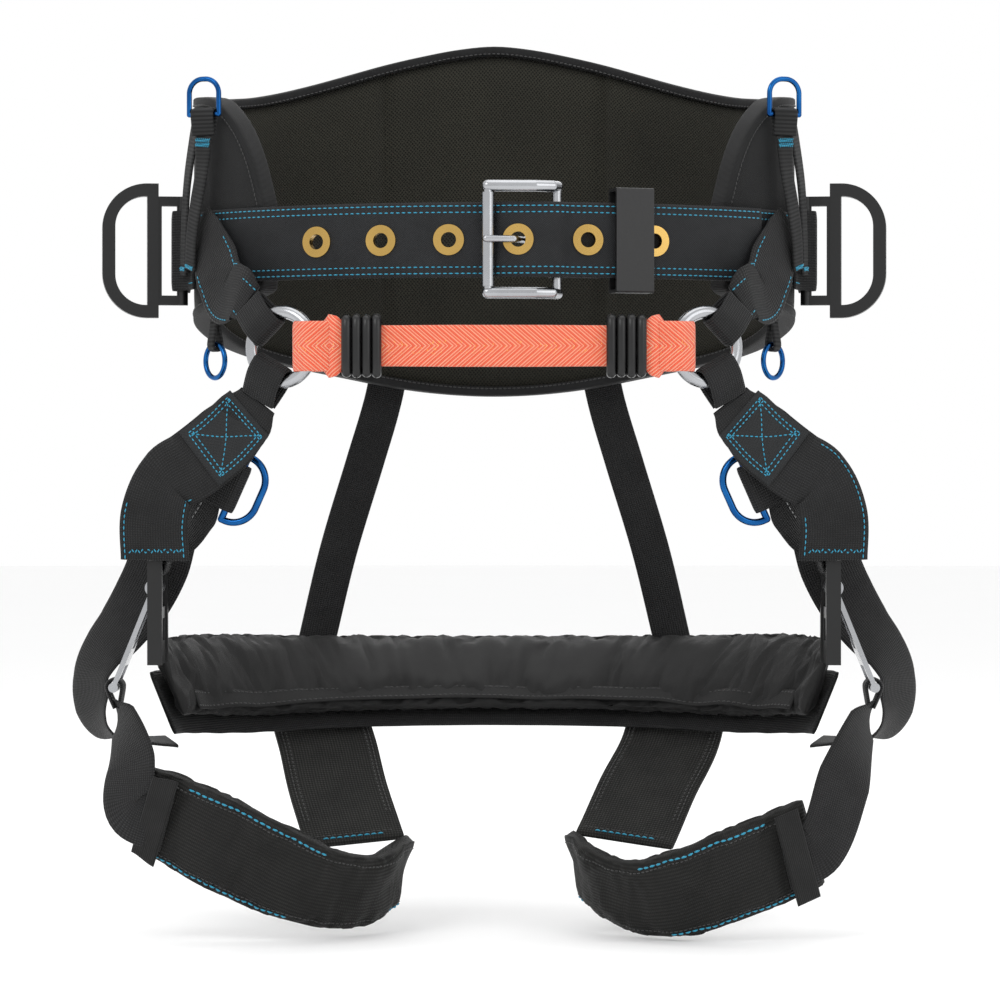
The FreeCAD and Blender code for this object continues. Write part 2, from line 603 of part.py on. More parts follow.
for side in (-1, 1):
    y = BUCKLE_PIN.y + side * (frame_half + rail / 2) - rail / 2
    buckle_frame = buckle_frame.fuse(Part.makeBox(9, rail, BUCKLE_FRAME_HEIGHT + 14,
                                                  V(BUCKLE_PIN.x - 3.5, y, BUCKLE_PIN.z - BUCKLE_FRAME_HEIGHT)))
across = V(0, frame_half + rail - 1, 0)
buckle_frame = buckle_frame.fuse(rod(pin - across, pin + across, PIN_DIAMETER))
buckle_frame = buckle_frame.fuse(rod(web_bar - across, web_bar + across, PIN_DIAMETER))
both("thigh_buckle_frame", buckle_frame.removeSplitter())

half_plate = PLATE_WIDTH / 2
hook = rod(pin - V(0, half_plate, 0), pin + V(0, half_plate, 0), PIN_DIAMETER + 2 * RUN_FIT + 4.4)
blade = Part.makeBox(PLATE_LENGTH, PLATE_WIDTH, PLATE_THICK, V(0, -half_plate, -PLATE_THICK / 2))
blade = blade.fuse(rod(V(PLATE_LENGTH, -half_plate, 0), V(PLATE_LENGTH, half_plate, 0), PLATE_BAR))
blade = blade.cut(Part.makeBox(12, PLATE_WIDTH - 8, 10, V(PLATE_LENGTH - PLATE_BAR / 2 - 12, 4 - half_plate, -5)))
blade = blade.cut(Part.makeBox(26, PLATE_WIDTH - 16, 10, V(14, 8 - half_plate, -5)))
blade = placed(blade, pin, plate_way, plate_face)
hook = hook.fuse(blade)
hook = hook.cut(rod(pin - V(0, 40, 0), pin + V(0, 40, 0), PIN_DIAMETER + 2 * RUN_FIT))
both("thigh_buckle_plate", hook.removeSplitter())
plate_bar = pin + plate_way * PLATE_LENGTH

# ================================================================ leg webs and thigh rings
leg_loop, leg_end, leg_way = ring_loop(-62, 24.0, 16.0)
leg_web = [(leg_end - leg_way, ring_normal, 28.0),
           (leg_end + V(7, 1, -9), V(0.35, -0.93, 0), 38.0),
           (leg_end + V(21, 5, -23), V(0.3, -0.94, -0.1), WEB_WIDTH),
           (leg_end + V(40, 9, -38), V(0.3, -0.93, -0.2), WEB_WIDTH),
           (leg_end + V(56, 16, -48), V(0.4, -0.9, 0.05), WEB_WIDTH),
           (leg_end + V(64, 20, -70), V(0.2, -0.97, 0), WEB_WIDTH),
           (leg_end + V(64, 25, -96), V(0.18, -0.97, -0.15), WEB_WIDTH)]
both("leg_web", web(leg_web, WEB_THICK, -WEB_THICK / 2).fuse(leg_loop))
patch = [(p, n, 36.0) for p, n, w in leg_web[1:4]]
patch[2] = (patch[1][0] * 0.15 + patch[2][0] * 0.85, patch[2][1], 36.0)
patch[0] = (patch[0][0] * 0.55 + patch[1][0] * 0.45, patch[0][1], 36.0)
both("leg_web_patch", web(patch, WEB_THICK, -WEB_THICK / 2 - WEB_THICK - 1.0))

thigh_ring = leg_end + V(15, 22, -52)
ring_bar_way = V(0.40, 0.06, -0.914)
ring_bow = V(-0.902, -0.135, -0.41)
ring_face = ring_bow.cross(ring_bar_way).normalize()
both("thigh_ring", placed(d_ring(THIGH_RING_WIDTH, THIGH_RING_REACH, THIGH_RING_BAR),
                          thigh_ring, ring_bow, ring_face))
thigh_ring_loop = placed(web_loop(THIGH_RING_BAR, 30.0, 15.0), thigh_ring, ring_bow * -1, ring_face)

thigh_loop_way = V(-0.5, 0, 0.866)
thigh_face = thigh_loop_way.cross(V(0, 1, 0))
thigh_loop = placed(web_loop(PIN_DIAMETER, 34.0, 13.0), web_bar, thigh_loop_way, thigh_face)
thigh_end = web_bar + thigh_loop_way * 12.0
thigh_web = [(thigh_end, V(0.87, 0, 0.5), 32.0),
             (thigh_end + V(-4, -4, 4), V(0.8, -0.3, 0.5), 34.0),
             (thigh_end + V(-12, -12, 13), V(0.6, -0.7, 0.4), 36.0),
             (thigh_end + V(-20, -21, 25), V(0.4, -0.88, 0.3), 32.0),
             (thigh_end + V(-26.5, -27, 36), V(0.3, -0.93, 0.2), 22.0)]
both("thigh_web", web(thigh_web, WEB_THICK, -WEB_THICK / 2).fuse(thigh_loop).fuse(thigh_ring_loop))

# ================================================================ top rings, ribbed straps, gear rings
top_out = 10.0
top_width = TOP_RING_WIDTH - 2 * TOP_RING_BAR - 2 * FREE
top_run = 188.0
top_bar = waist(top_run, top_out, TOP_RING_Z)[0]
top_normal = TOP_RING_FACE
both("top_ring", placed(d_ring(TOP_RING_WIDTH, TOP_RING_HEIGHT, TOP_RING_BAR), top_bar, V(0, 0, 1), top_normal))
top_loop = placed(web_loop(TOP_RING_BAR, top_width, 14.0, RIB_THICK), top_bar, V(0, 0, -1), top_normal)
rib_top = TOP_RING_Z - 13.0
front_rib = [(waist(run, out, z)[0], waist(run)[1], RIB_WIDTH)
             for run, out, z in ((top_run, top_out, rib_top), (190, 10.6, 45), (194, 11.8, 25),
                                 (199, 11.6, 5), (203, 10.4, -14))]
rear_rib = [(waist(run, out, z)[0], waist(run)[1], RIB_WIDTH)
            for run, out, z in ((206, 3.0, 86), (211, 5.0, 66), (215, 7.4, 40), (218, 8.2, 10), (220, 8.2, -16))]
front_strap = web(front_rib, RIB_THICK, -RIB_THICK / 2).fuse(top_loop)
both("tool_straps", Part.makeCompound([front_strap, web(rear_rib, RIB_THICK, -RIB_THICK / 2)]))

gear_middle = GEAR_RING_OUTER / 2 - GEAR_RING_BAR / 2
gear_bar, gear_normal = waist(GEAR_RING_RUN, 1.6, GEAR_LOOP_Z)
both("gear_ring", torus(gear_bar - V(0, 0, gear_middle), gear_normal, GEAR_RING_OUTER, GEAR_RING_BAR))
gear_bow = gear_middle - math.sqrt(gear_middle ** 2 - 3.5 ** 2)
gear_loop = placed(web_loop(GEAR_RING_BAR, 7.0, 14.0, RIB_THICK, gear_bow), gear_bar, V(0, 0, 1), gear_normal)
gear_strap = [(waist(GEAR_RING_RUN, 1.6, GEAR_LOOP_Z + 13.0)[0], gear_normal, 11.0),
              (waist(GEAR_RING_RUN, 1.4, -36)[0], gear_normal, 13.0),
              (waist(GEAR_RING_RUN, 1.2, -25)[0], gear_normal, 14.0)]
both("gear_strap", web(gear_strap, RIB_THICK * 0.8, -RIB_THICK * 0.4).fuse(gear_loop))

# ================================================================ seat
seat = []
for i in range(21):
    angle = math.radians(-90 + 9 * i)
    out = V(math.sin(angle) / SEAT_HALF, math.cos(angle) / SEAT_DEPTH, 0).normalize()
    share = math.sin(angle) ** 4
    tilt = math.radians(SEAT_TILT + (SEAT_END_TILT - SEAT_TILT) * share)
    width = SEAT_WIDTH + (SEAT_END_WIDTH - SEAT_WIDTH) * share
    point = V(SEAT_HALF * math.sin(angle), SEAT_END_Y + SEAT_DEPTH * math.cos(angle), SEAT_Z)
    seat.append((point, out * math.sin(tilt) - V(0, 0, math.cos(tilt)), width))
parts["seat_cover"] = web(seat, SEAT_COVER, -SEAT_COVER)
parts["seat_foam"] = web(seat, SEAT_FOAM)
strap_share = SEAT_STRAP_WIDTH / SEAT_WIDTH
parts["seat_strap"] = web([(p, n, w * strap_share) for p, n, w in seat], WEB_THICK, SEAT_FOAM + GAP, -13.0)
end_point, end_normal = seat[-1][0], seat[-1][1]
tail_start = end_point + end_normal * (SEAT_FOAM + GAP + WEB_THICK) + V(1, -1, -23)
tail = [(tail_start + V(-12, 6, -13), V(0.1, 0.1, -1), 36.0),
        (tail_start + V(5, 0, -12), V(0.1, 0, -1), WEB_WIDTH - 3),
        (tail_start + V(20, -3, -10), V(0.15, 0, -1), WEB_WIDTH - 3),
        (tail_start + V(31, -3, -4), V(0.5, -0.4, -0.75), WEB_WIDTH - 3),
        (tail_start + V(37, 0, 10), V(0.78, -0.6, -0.1), WEB_WIDTH - 3),
        (tail_start + V(38, 3, 28), V(0.78, -0.6, 0.1), WEB_WIDTH - 3),
        (tail_start + V(31, 4, 44), V(0.6, -0.7, 0.4), WEB_WIDTH - 3),
        (tail_start + V(19, 2, 58), V(0.4, -0.85, 0.35), WEB_WIDTH - 3),
        (tail_start + V(5, -2, 78), V(0.25, -0.95, 0.15), WEB_WIDTH - 3),
        (tail_start + V(-5, -7, 98), V(0.15, -0.98, 0.1), WEB_WIDTH - 3),
        (tail_start + V(-9, -8, 114), V(0.1, -0.99, 0.05), WEB_WIDTH - 3)]
both("seat_tail", web(tail, WEB_THICK, -WEB_THICK / 2))
riser_foot = V(118, 128.6, -252)
riser = [(waist(HALF_RUN - 62, BELT_THICK + 0.2, -20)[0], waist(HALF_RUN - 62)[1], RISER_WIDTH),
         (waist(HALF_RUN - 68, 1.4, -62)[0], waist(HALF_RUN - 68)[1], RISER_WIDTH),
         (waist(HALF_RUN - 74, 1.4, -92)[0], waist(HALF_RUN - 74)[1], RISER_WIDTH),
         (V(85, 116, -130), V(0.15, 1, 0), RISER_WIDTH),
         (V(103, 119.5, -190), V(0.2, 1, 0.05), RISER_WIDTH),
         (riser_foot, V(0.3, 1, -0.1), RISER_WIDTH)]
both("riser", web(riser, WEB_THICK, 0))

# ================================================================ leg loops
LEG_PADS = {
    "left": [(V(-216, -62, -340), V(-0.35, -0.9, -0.2), 50), (V(-196, -69, -349), V(-0.2, -0.95, -0.25), 56),
             (V(-168, -73, -363), V(-0.05, -0.95, -0.3), 60), (V(-138, -71, -378), V(0.08, -0.93, -0.35), 58),
             (V(-108, -60, -391), V(0.3, -0.85, -0.4), 52), (V(-84, -42, -395), V(0.6, -0.7, -0.4), 48),
             (V(-69, -20, -389), V(0.85, -0.4, -0.3), 42), (V(-74, 5, -375), V(0.3, 0.5, -0.82), 42)],
    "right": [(V(193, -62, -364), V(0.35, -0.9, -0.2), 58), (V(174, -69, -372), V(0.2, -0.95, -0.25), 58),
              (V(148, -73, -382), V(0.05, -0.95, -0.3), 58), (V(120, -69, -393), V(-0.15, -0.92, -0.35), 56),
              (V(94, -56, -398), V(-0.4, -0.82, -0.4), 50), (V(74, -38, -393), V(-0.65, -0.65, -0.4), 46),
              (V(62, -18, -385), V(-0.85, -0.4, -0.3), 42), (V(68, 6, -374), V(-0.3, 0.5, -0.82), 42)],
}
LEG_STRAPS = {
    "left": [(V(-5, -5, -22), V(0.88, -0.5, -0.1)), (V(-11, -18, -46), V(0.6, -0.8, 0))],
    "right": [(V(-7, -5, -24), V(0.88, -0.5, -0.1)), (V(-19, -18, -56), V(0.55, -0.83, 0))],
}
LEG_SLEEVES = {
    "left": [V(-115, 99, -284), V(-113, 84, -297), V(-107, 62, -314), V(-100, 34, -337), V(-91, 6, -360),
             V(-87, -6, -370)],
    "right": [V(119, 99, -284), V(118, 84, -297), V(112, 62, -314), V(98, 34, -337), V(86, 6, -360),
              V(81, -6, -369)],
}
for side, sign in (("left", -1), ("right", 1)):
    pad = LEG_PADS[side]
    parts[side + "_leg_pad"] = web(pad, LEG_PAD_THICK)
    bar = V(plate_bar.x * sign, plate_bar.y, plate_bar.z)
    down = V(-0.12 * sign, 0, -1).normalize()
    face = down.cross(V(0, 1, 0))
    strap_loop = placed(web_loop(PLATE_BAR, PLATE_WIDTH - 9.5, 14.0), bar, down, face)
    strap = [(bar + down * 13.0, V(sign, 0, -0.12), 24.0)]
    strap += [(bar + V(step.x * sign, step.y, step.z), V(n.x * sign, n.y, n.z), 41.0)
              for step, n in LEG_STRAPS[side]]
    on_pad = LEG_PAD_THICK + 2.0 + WEB_THICK / 2
    strap += [(p + n.normalize() * (on_pad + more), n, 38.0) for p, n, more in
              ((pad[0][0], pad[0][1], 1.2), (pad[1][0], pad[1][1], 0.0))]
    parts[side + "_leg_strap"] = web(strap, WEB_THICK, -WEB_THICK / 2).fuse(strap_loop)
    sleeve = [(p, V(0.1 * sign, 0.62, -0.77), 64.0) for p in LEG_SLEEVES[side]]
    parts[side + "_leg_sleeve"] = web(sleeve, LEG_SLEEVE_THICK)
    elastic = [(p + n.normalize() * (on_pad + WEB_THICK / 2 + GAP), n, w + 2) for p, n, w in
               ((pad[0][0] * 0.6 + pad[1][0] * 0.4, pad[0][1], pad[0][2]), (pad[1][0], pad[1][1], pad[1][2]))]
    parts[side + "_leg_elastic"] = web(elastic, 1.5)

# ================================================================ output
os.makedirs("parts", exist_ok=True)
for name, shape in sorted(parts.items()):
    solids = [solid if solid.Volume > 0 else solid.reversed() for solid in shape.Solids]
    shape = solids[0] if len(solids) == 1 else Part.makeCompound(solids)
    if not shape.isValid() or shape.Volume <= 0:
        print("CHECK", name, shape.isValid(), round(shape.Volume, 1))
    shape.exportStep("parts/" + name + ".step")
print(len(parts), "parts")
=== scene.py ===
import bpy
import bmesh
import math
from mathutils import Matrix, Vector, noise
from mathutils.bvhtree import BVHTree


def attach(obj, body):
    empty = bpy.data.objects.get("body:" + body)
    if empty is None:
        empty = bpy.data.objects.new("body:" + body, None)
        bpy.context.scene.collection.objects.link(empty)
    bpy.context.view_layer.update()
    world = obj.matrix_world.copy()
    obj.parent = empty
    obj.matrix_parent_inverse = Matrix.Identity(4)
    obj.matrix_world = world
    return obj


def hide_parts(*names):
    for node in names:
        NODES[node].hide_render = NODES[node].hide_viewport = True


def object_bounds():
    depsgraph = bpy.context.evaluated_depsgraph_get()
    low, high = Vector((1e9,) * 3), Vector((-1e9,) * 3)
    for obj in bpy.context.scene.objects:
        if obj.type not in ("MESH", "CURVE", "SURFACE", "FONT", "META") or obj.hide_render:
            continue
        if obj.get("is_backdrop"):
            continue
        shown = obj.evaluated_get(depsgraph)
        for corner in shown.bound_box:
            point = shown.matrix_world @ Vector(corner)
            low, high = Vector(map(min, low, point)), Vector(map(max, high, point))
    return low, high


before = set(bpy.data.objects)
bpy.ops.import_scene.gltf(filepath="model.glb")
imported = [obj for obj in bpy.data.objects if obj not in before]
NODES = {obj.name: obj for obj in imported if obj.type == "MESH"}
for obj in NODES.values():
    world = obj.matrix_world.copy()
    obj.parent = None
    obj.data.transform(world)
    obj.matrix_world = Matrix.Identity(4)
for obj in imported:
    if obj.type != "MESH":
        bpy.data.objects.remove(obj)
cad_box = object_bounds()
MM = 0.001

# ---------------------------------------------------------------- waist line and webs
# In plan the belt is an arc across the front, two round each hip and one across
# the back. A web's stations are x, y, z, outward direction and width, in mm.
WAIST_ARCS = ((260.0, 36.0), (90.0, 54.0), (95.0, 60.0))     # radius and degrees, from the front centre
WEB_THICK = 2.4
BELT_THICK = 2.6
BELT_WIDTH = 45.0
WEB_WIDTH = 43.0
GAP = 0.4                   # between pieces that lie on each other


def waist_arcs():
    """Radius, first and last heading of each arc on one side, the back one closing the line."""
    x, heading, arcs = 0.0, 0.0, []
    for radius, sweep in WAIST_ARCS:
        a, b = math.radians(heading), math.radians(heading + sweep)
        x += radius * (math.sin(b) - math.sin(a))
        arcs.append((radius, a, b))
        heading += sweep
    arcs.append((x / math.sin(math.radians(heading)), math.radians(heading), math.pi))
    return arcs


ARCS = waist_arcs()
HALF_RUN = sum(radius * (b - a) for radius, a, b in ARCS)
DEPTH = sum(radius * (math.cos(a) - math.cos(b)) for radius, a, b in ARCS)


def waist(run, out=0.0, z=0.0):
    """The point at a run along the waist line, out from it, and the outward direction there."""
    left, angle = abs(run), 0.0
    x, y = 0.0, -DEPTH / 2
    for radius, a, b in ARCS:
        step = min(left, radius * (b - a))
        angle = a + step / radius
        x += radius * (math.sin(angle) - math.sin(a))
        y += radius * (math.cos(a) - math.cos(angle))
        left -= step
        if left <= 0:
            break
    normal = Vector((math.copysign(math.sin(angle), run), -math.cos(angle), 0))
    return Vector((math.copysign(x, run), y, z)) + normal * out, normal


def on_waist(places, width):
    """Web places (point, outward direction, width) from (run, out, z)."""
    return [(*waist(run, out, z), width) for run, out, z in places]


def along_web(places, lift=0.0, shift=0.0):
    """Stations of a web through places, lifted outwards and shifted across, to 0.1 mm."""
    points = [Vector(p) for p, n, w in places]
    stations = []
    for i, (p, n, w) in enumerate(places):
        way = points[min(i + 1, len(points) - 1)] - points[max(i - 1, 0)]
        across = way.cross(Vector(n)).normalized()
        face = across.cross(way).normalized()
        middle = points[i] + face * lift + across * shift
        stations.append((*(round(c, 1) for c in middle), *(round(c, 2) for c in face), round(w, 1)))
    return stations


def other_side(stations):
    return [(-x, y, z, -nx, ny, nz, w) for x, y, z, nx, ny, nz, w in stations]


SIDES = (("right", list), ("left", other_side))

# ---------------------------------------------------------------- back pad, inner panel
# The padded panel that lies against the wearer's back and hips: spacer mesh over
# closed-cell foam, with sewn channels that divide it into wings and a middle.
PAD_END = 152.0             # run from the front centre to the wing's front end
PAD_TOP, PAD_BOTTOM = 142.0, -88.0          # at the back centre
# share of the way from the wing's end to the back centre, then how much of
# PAD_TOP and of PAD_BOTTOM the pad's edges reach there
PAD_SHAPE = [
    (0.00, 0.20, 0.33), (0.02, 0.36, 0.36), (0.05, 0.50, 0.39), (0.09, 0.60, 0.41),
    (0.14, 0.66, 0.43), (0.22, 0.675, 0.47), (0.32, 0.69, 0.55), (0.42, 0.71, 0.65),
    (0.516, 0.735, 0.74), (0.60, 0.78, 0.80), (0.68, 0.835, 0.85), (0.76, 0.893, 0.91),
    (0.83, 0.937, 0.955), (0.90, 0.973, 0.984), (0.95, 0.992, 0.996), (1.00, 1.00, 1.00)]
PAD_RUNS = [PAD_END + step for step in (0, 8, 18, 30, 46)]
PAD_RUNS += [PAD_RUNS[-1] + (HALF_RUN - PAD_RUNS[-1]) * i / 12 for i in range(1, 13)]


def pad_at(run):
    """The pad at a run: x, y, outward x and y, lower and upper edge."""
    share = min((run - PAD_END) / (HALF_RUN - PAD_END), 1.0)
    a, b = next(pair for pair in zip(PAD_SHAPE, PAD_SHAPE[1:]) if share <= pair[1][0])
    part = (share - a[0]) / (b[0] - a[0])
    top, bottom = (a[k] + (b[k] - a[k]) * part for k in (1, 2))
    p, n = waist(run)
    return (round(p.x, 1), round(p.y, 1), round(n.x, 3), round(n.y, 3),
            round(PAD_BOTTOM * bottom, 1), round(PAD_TOP * top, 1))


PAD_ROWS = [pad_at(run) for run in PAD_RUNS]
PAD_ROWS += [(-x, y, -nx, ny, low, high) for x, y, nx, ny, low, high in PAD_ROWS[-2::-1]]
BINDING_WIDTH = 6.5
PAD_INSIDE = -15.3          # mm in from the waist line
CHANNELS = (0.21, 0.405, 0.595, 0.79)       # shares of the way round, where the panel is sewn through


def dressed(piece, material, body, slot, *nodes):
    """Give a piece its material and the body it moves with, and hide the CAD nodes it stands for; slot is not
    used.
    """
    piece.data.materials.append(material)
    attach(piece, body)
    if nodes:
        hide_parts(*nodes)
    return piece


def smooth_between(rows, share):
    """The row at a share of the way along a list of rows, on a smooth curve through them."""
    place = min(max(share, 0.0), 1.0) * (len(rows) - 1)
    i = min(int(place), len(rows) - 2)
    t = place - i
    a, b = rows[i], rows[i + 1]
    before = rows[i - 1] if i else [2 * p - q for p, q in zip(a, b)]
    after = rows[i + 2] if i + 2 < len(rows) else [2 * q - p for p, q in zip(a, b)]
    row = []
    for p0, p1, p2, p3 in zip(before, a, b, after):
        row.append(0.5 * (2 * p1 + (p2 - p0) * t + (2 * p0 - 5 * p1 + 4 * p2 - p3) * t * t
                          + (3 * p1 - p0 - 3 * p2 + p3) * t ** 3))
    return row


def pad_place(share, rise, out, inset):
    """A point of the pad: share of the way round, rise from lower to upper edge, mm out."""
    x, y, nx, ny, low, high = smooth_between(PAD_ROWS, share)
    z = low + inset + (high - low - 2 * inset) * rise
    return Vector(((x + nx * out) * MM, (y + ny * out) * MM, z * MM))


def made_of(name, points, faces, uvs=None):
    """An object from points in metres and faces; uvs gives a place on the cloth for each point."""
    mesh = bpy.data.meshes.new(name)
    mesh.from_pydata([tuple(p) for p in points], [], faces)
    if uvs:
        layer = mesh.uv_layers.new(name="cloth")
        for loop in mesh.loops:
            layer.data[loop.index].uv = uvs[loop.vertex_index]
    for polygon in mesh.polygons:
        polygon.use_smooth = True
    piece = bpy.data.objects.new(name, mesh)
    bpy.context.scene.collection.objects.link(piece)
    return piece


def skin(rings, ring, closed=False, base=0):
    """Faces of a tube made of rings of points, numbered from base, with its ends unless it is closed."""
    faces = []
    for i in range(rings if closed else rings - 1):
        k = (i + 1) % rings
        for j in range(ring):
            m = (j + 1) % ring
            faces.append((i * ring + j, i * ring + m, k * ring + m, k * ring + j))
    if not closed:
        faces.append(tuple(range(ring))[::-1])
        faces.append(tuple(range((rings - 1) * ring, rings * ring)))
    return [tuple(base + corner for corner in face) for face in faces]


def outward(piece):
    """Turn every face of a closed piece outwards."""
    work = bmesh.new()
    work.from_mesh(piece.data)
    bmesh.ops.recalc_face_normals(work, faces=work.faces)
    work.to_mesh(piece.data)
    work.free()


def panel(name, inner, outer, inset, puff, channels, columns=190, rows=34):
    """A closed panel of the pad between two depths; puff swells its inner face between seams."""
    points, uvs = [], []
    around = [(j / rows, 0) for j in range(rows + 1)] + [(j / rows, 1) for j in range(rows, -1, -1)]
    count = len(around)
    for i in range(columns + 1):
        share = i / columns
        end = min(share, 1 - share) * 1000.0
        for rise, face in around:
            edge = min(rise, 1 - rise)
            crown = math.sqrt(max(0.0, 1 - (1 - min(edge / 0.10, 1.0)) ** 2))
            crown *= math.sqrt(max(0.0, 1 - (1 - min(end / 14.0, 1.0)) ** 2))
            dent = 0.0
            for seam in channels:
                near = abs(share - seam) * 700.0
                dent = max(dent, 1 - min(near / 9.0, 1.0)) if near < 9.0 else dent
            crown *= 1 - 0.75 * dent ** 2
            middle = (inner + outer) / 2
            if face == 0:
                ripple = noise.noise(Vector((share * 26, rise * 5, 2.0))) * 0.9
                out = middle + (inner - middle) * crown - (puff + ripple * puff) * crown * 0.4
            else:
                out = middle + (outer - middle) * crown
            points.append(pad_place(share, rise, out, inset))
            uvs.append((share * 760, rise * 180))
    piece = made_of(name, points, skin(columns + 1, count), uvs)
    outward(piece)
    return piece


def finish_named(name, colour, rough, **sockets):
    """A new material and its tree; sockets are the shader's own settings."""
    material = bpy.data.materials.new(name)
    material.use_nodes = True
    tree = material.node_tree
    shader = tree.nodes["Principled BSDF"]
    shader.inputs["Base Color"].default_value = (*colour, 1)
    shader.inputs["Roughness"].default_value = rough
    for socket, value in sockets.items():
        shader.inputs[socket.replace("_", " ")].default_value = value
    return material, tree, shader


def put(tree, kind, settings=None, **inputs):
    """Add a node; inputs are values or other nodes' sockets."""
    node = tree.nodes.new(kind)
    for key, value in (settings or {}).items():
        setattr(node, key, value)
    for key, value in inputs.items():
        socket = node.inputs[int(key[1:])] if key[0] == "i" and key[1:].isdigit() else node.inputs[key]
        if isinstance(value, bpy.types.NodeSocket):
            tree.links.new(value, socket)
        else:
            socket.default_value = value
    return node


def cloth_place(tree, across, along):
    """Places on the cloth in threads: across and along give threads per millimetre."""
    place = put(tree, "ShaderNodeUVMap", {"uv_map": "cloth"})
    return put(tree, "ShaderNodeMapping", Vector=place.outputs[0], Scale=(across, along, 1)).outputs[0]


def waves(tree, vector, direction, scale=1.0, distortion=0.0):
    """Evenly spaced ridges, one for every unit of the vector."""
    return put(tree, "ShaderNodeTexWave", {"bands_direction": direction, "wave_profile": "SIN"},
               Vector=vector, Scale=scale * 0.314159, Distortion=distortion).outputs["Fac"]


def sums(tree, how, a, b):
    return put(tree, "ShaderNodeMath", {"operation": how}, i0=a, i1=b).outputs[0]


def two_tone(tree, shader, fac, dark, light):
    mix = put(tree, "ShaderNodeMix", {"data_type": "RGBA"}, i0=fac, i6=(*dark, 1), i7=(*light, 1))
    tree.links.new(mix.outputs[2], shader.inputs["Base Color"])
    return mix


def raised(tree, shader, height, distance, strength=1.0, under=None):
    bump = put(tree, "ShaderNodeBump", Strength=strength, Distance=distance * MM, Height=height)
    if under is not None:
        tree.links.new(under, bump.inputs["Normal"])
    tree.links.new(bump.outputs[0], shader.inputs["Normal"])
    return bump.outputs[0]


def object_noise(tree, per_metre, detail=3.0, roughness=0.5):
    place = put(tree, "ShaderNodeTexCoord")
    return put(tree, "ShaderNodeTexNoise", Vector=place.outputs["Object"], Scale=per_metre,
               Detail=detail, Roughness=roughness).outputs["Fac"]


def spacer_mesh():
    material, tree, shader = finish_named("spacer_mesh", (0.02, 0.02, 0.016), 0.82, Sheen_Weight=0.05,
                                          Sheen_Roughness=0.5, Specular_IOR_Level=0.2)
    place = cloth_place(tree, 0.62, 0.62)
    turned = put(tree, "ShaderNodeMapping", Vector=place, Rotation=(0, 0, 0.785)).outputs[0]
    cells = put(tree, "ShaderNodeTexVoronoi", {"feature": "F1"}, Vector=turned, Scale=1.0,
                Randomness=0.12).outputs["Distance"]
    holes = put(tree, "ShaderNodeMapRange", Value=cells, **{"From Min": 0.12, "From Max": 0.45}).outputs[0]
    cloudy = object_noise(tree, 14, 4)
    # Painted shade: the mesh's holes are coloured darker than their borders, shade painted into the openings.
    tone = sums(tree, "MULTIPLY", holes, sums(tree, "ADD", cloudy, 0.35))
    two_tone(tree, shader, tone, (0.0016, 0.0016, 0.0014), (0.026, 0.025, 0.018))
    raised(tree, shader, holes, 0.5, 0.9)
    return material


spacer = spacer_mesh()
liner = panel("pad_inner_panel", PAD_INSIDE, -3.2, BINDING_WIDTH - 1.0, 0.4, CHANNELS)
dressed(liner, spacer, "harness", "pad_mesh", "back_pad_liner", "back_pad_foam")

# ---------------------------------------------------------------- back pad, outer panel
# The plain nylon face that the belt is sewn to; it shows at the back and on the wings' outside.
NYLON_DARK = (0.0035, 0.0036, 0.0038)
NYLON_LIGHT = (0.019, 0.0195, 0.020)


def plain_nylon(name, dark, light, threads=1.9, rough=0.68, sheen=0.05):
    material, tree, shader = finish_named(name, light, rough, Sheen_Weight=sheen, Sheen_Roughness=0.45,
                                          Specular_IOR_Level=0.22)
    place = cloth_place(tree, threads, threads)
    weave = sums(tree, "MULTIPLY", waves(tree, place, "X"), waves(tree, place, "Y"))
    worn = object_noise(tree, 30, 5, 0.6)
    two_tone(tree, shader, sums(tree, "MULTIPLY", worn, sums(tree, "ADD", weave, 0.55)), dark, light)
    slub = raised(tree, shader, object_noise(tree, 70, 3), 1.0, 0.35)
    raised(tree, shader, weave, 0.18, 0.8, slub)
    return material


pad_nylon = plain_nylon("pad_nylon", NYLON_DARK, NYLON_LIGHT)
shell = panel("pad_outer_panel", -2.6, -0.9, BINDING_WIDTH - 1.0, 0.0, (0.21, 0.5, 0.79))
dressed(shell, pad_nylon, "harness", "pad_fabric", "back_pad_shell")

# ---------------------------------------------------------------- back pad binding
# A woven tape folded over the whole edge of the pad and sewn through all layers
# with one row of black thread on each face.
binding_depth = 15.6


def pad_edge():
    """Places round the pad's outline in order: point and the pad's own outward."""
    route = []
    steps = 150
    for i in range(steps + 1):
        route.append((i / steps, 1.0))
    for j in range(1, 10):
        route.append((1.0, 1 - j / 10))
    for i in range(steps, -1, -1):
        route.append((i / steps, 0.0))
    for j in range(1, 10):
        route.append((0.0, j / 10))
    places = []
    for share, rise in route:
        x, y, nx, ny, low, high = smooth_between(PAD_ROWS, share)
        places.append((pad_place(share, rise, -8.2, BINDING_WIDTH / 2), Vector((nx, ny, 0)).normalized()))
    return places


def swept(name, places, profile, closed=True, turn_u=1.0):
    """A profile carried along places (point, normal); profile is (sideways, along normal) in mm."""
    points, uvs = [], []
    count = len(places)
    length = 0.0
    for i, (p, n) in enumerate(places):
        before = places[i - 1][0] if i or closed else p
        after = places[(i + 1) % count][0] if i + 1 < count or closed else p
        way = (after - before).normalized()
        side = way.cross(n).normalized()
        up = side.cross(way).normalized()
        if i:
            length += (p - places[i - 1][0]).length / MM
        girth = 0.0
        for j, (a, b) in enumerate(profile):
            if j:
                girth += math.dist(profile[j], profile[j - 1])
            points.append(p + side * (a * MM) + up * (b * MM))
            uvs.append((girth * turn_u, length))
    piece = made_of(name, points, skin(count, len(profile), closed), uvs)
    outward(piece)
    return piece


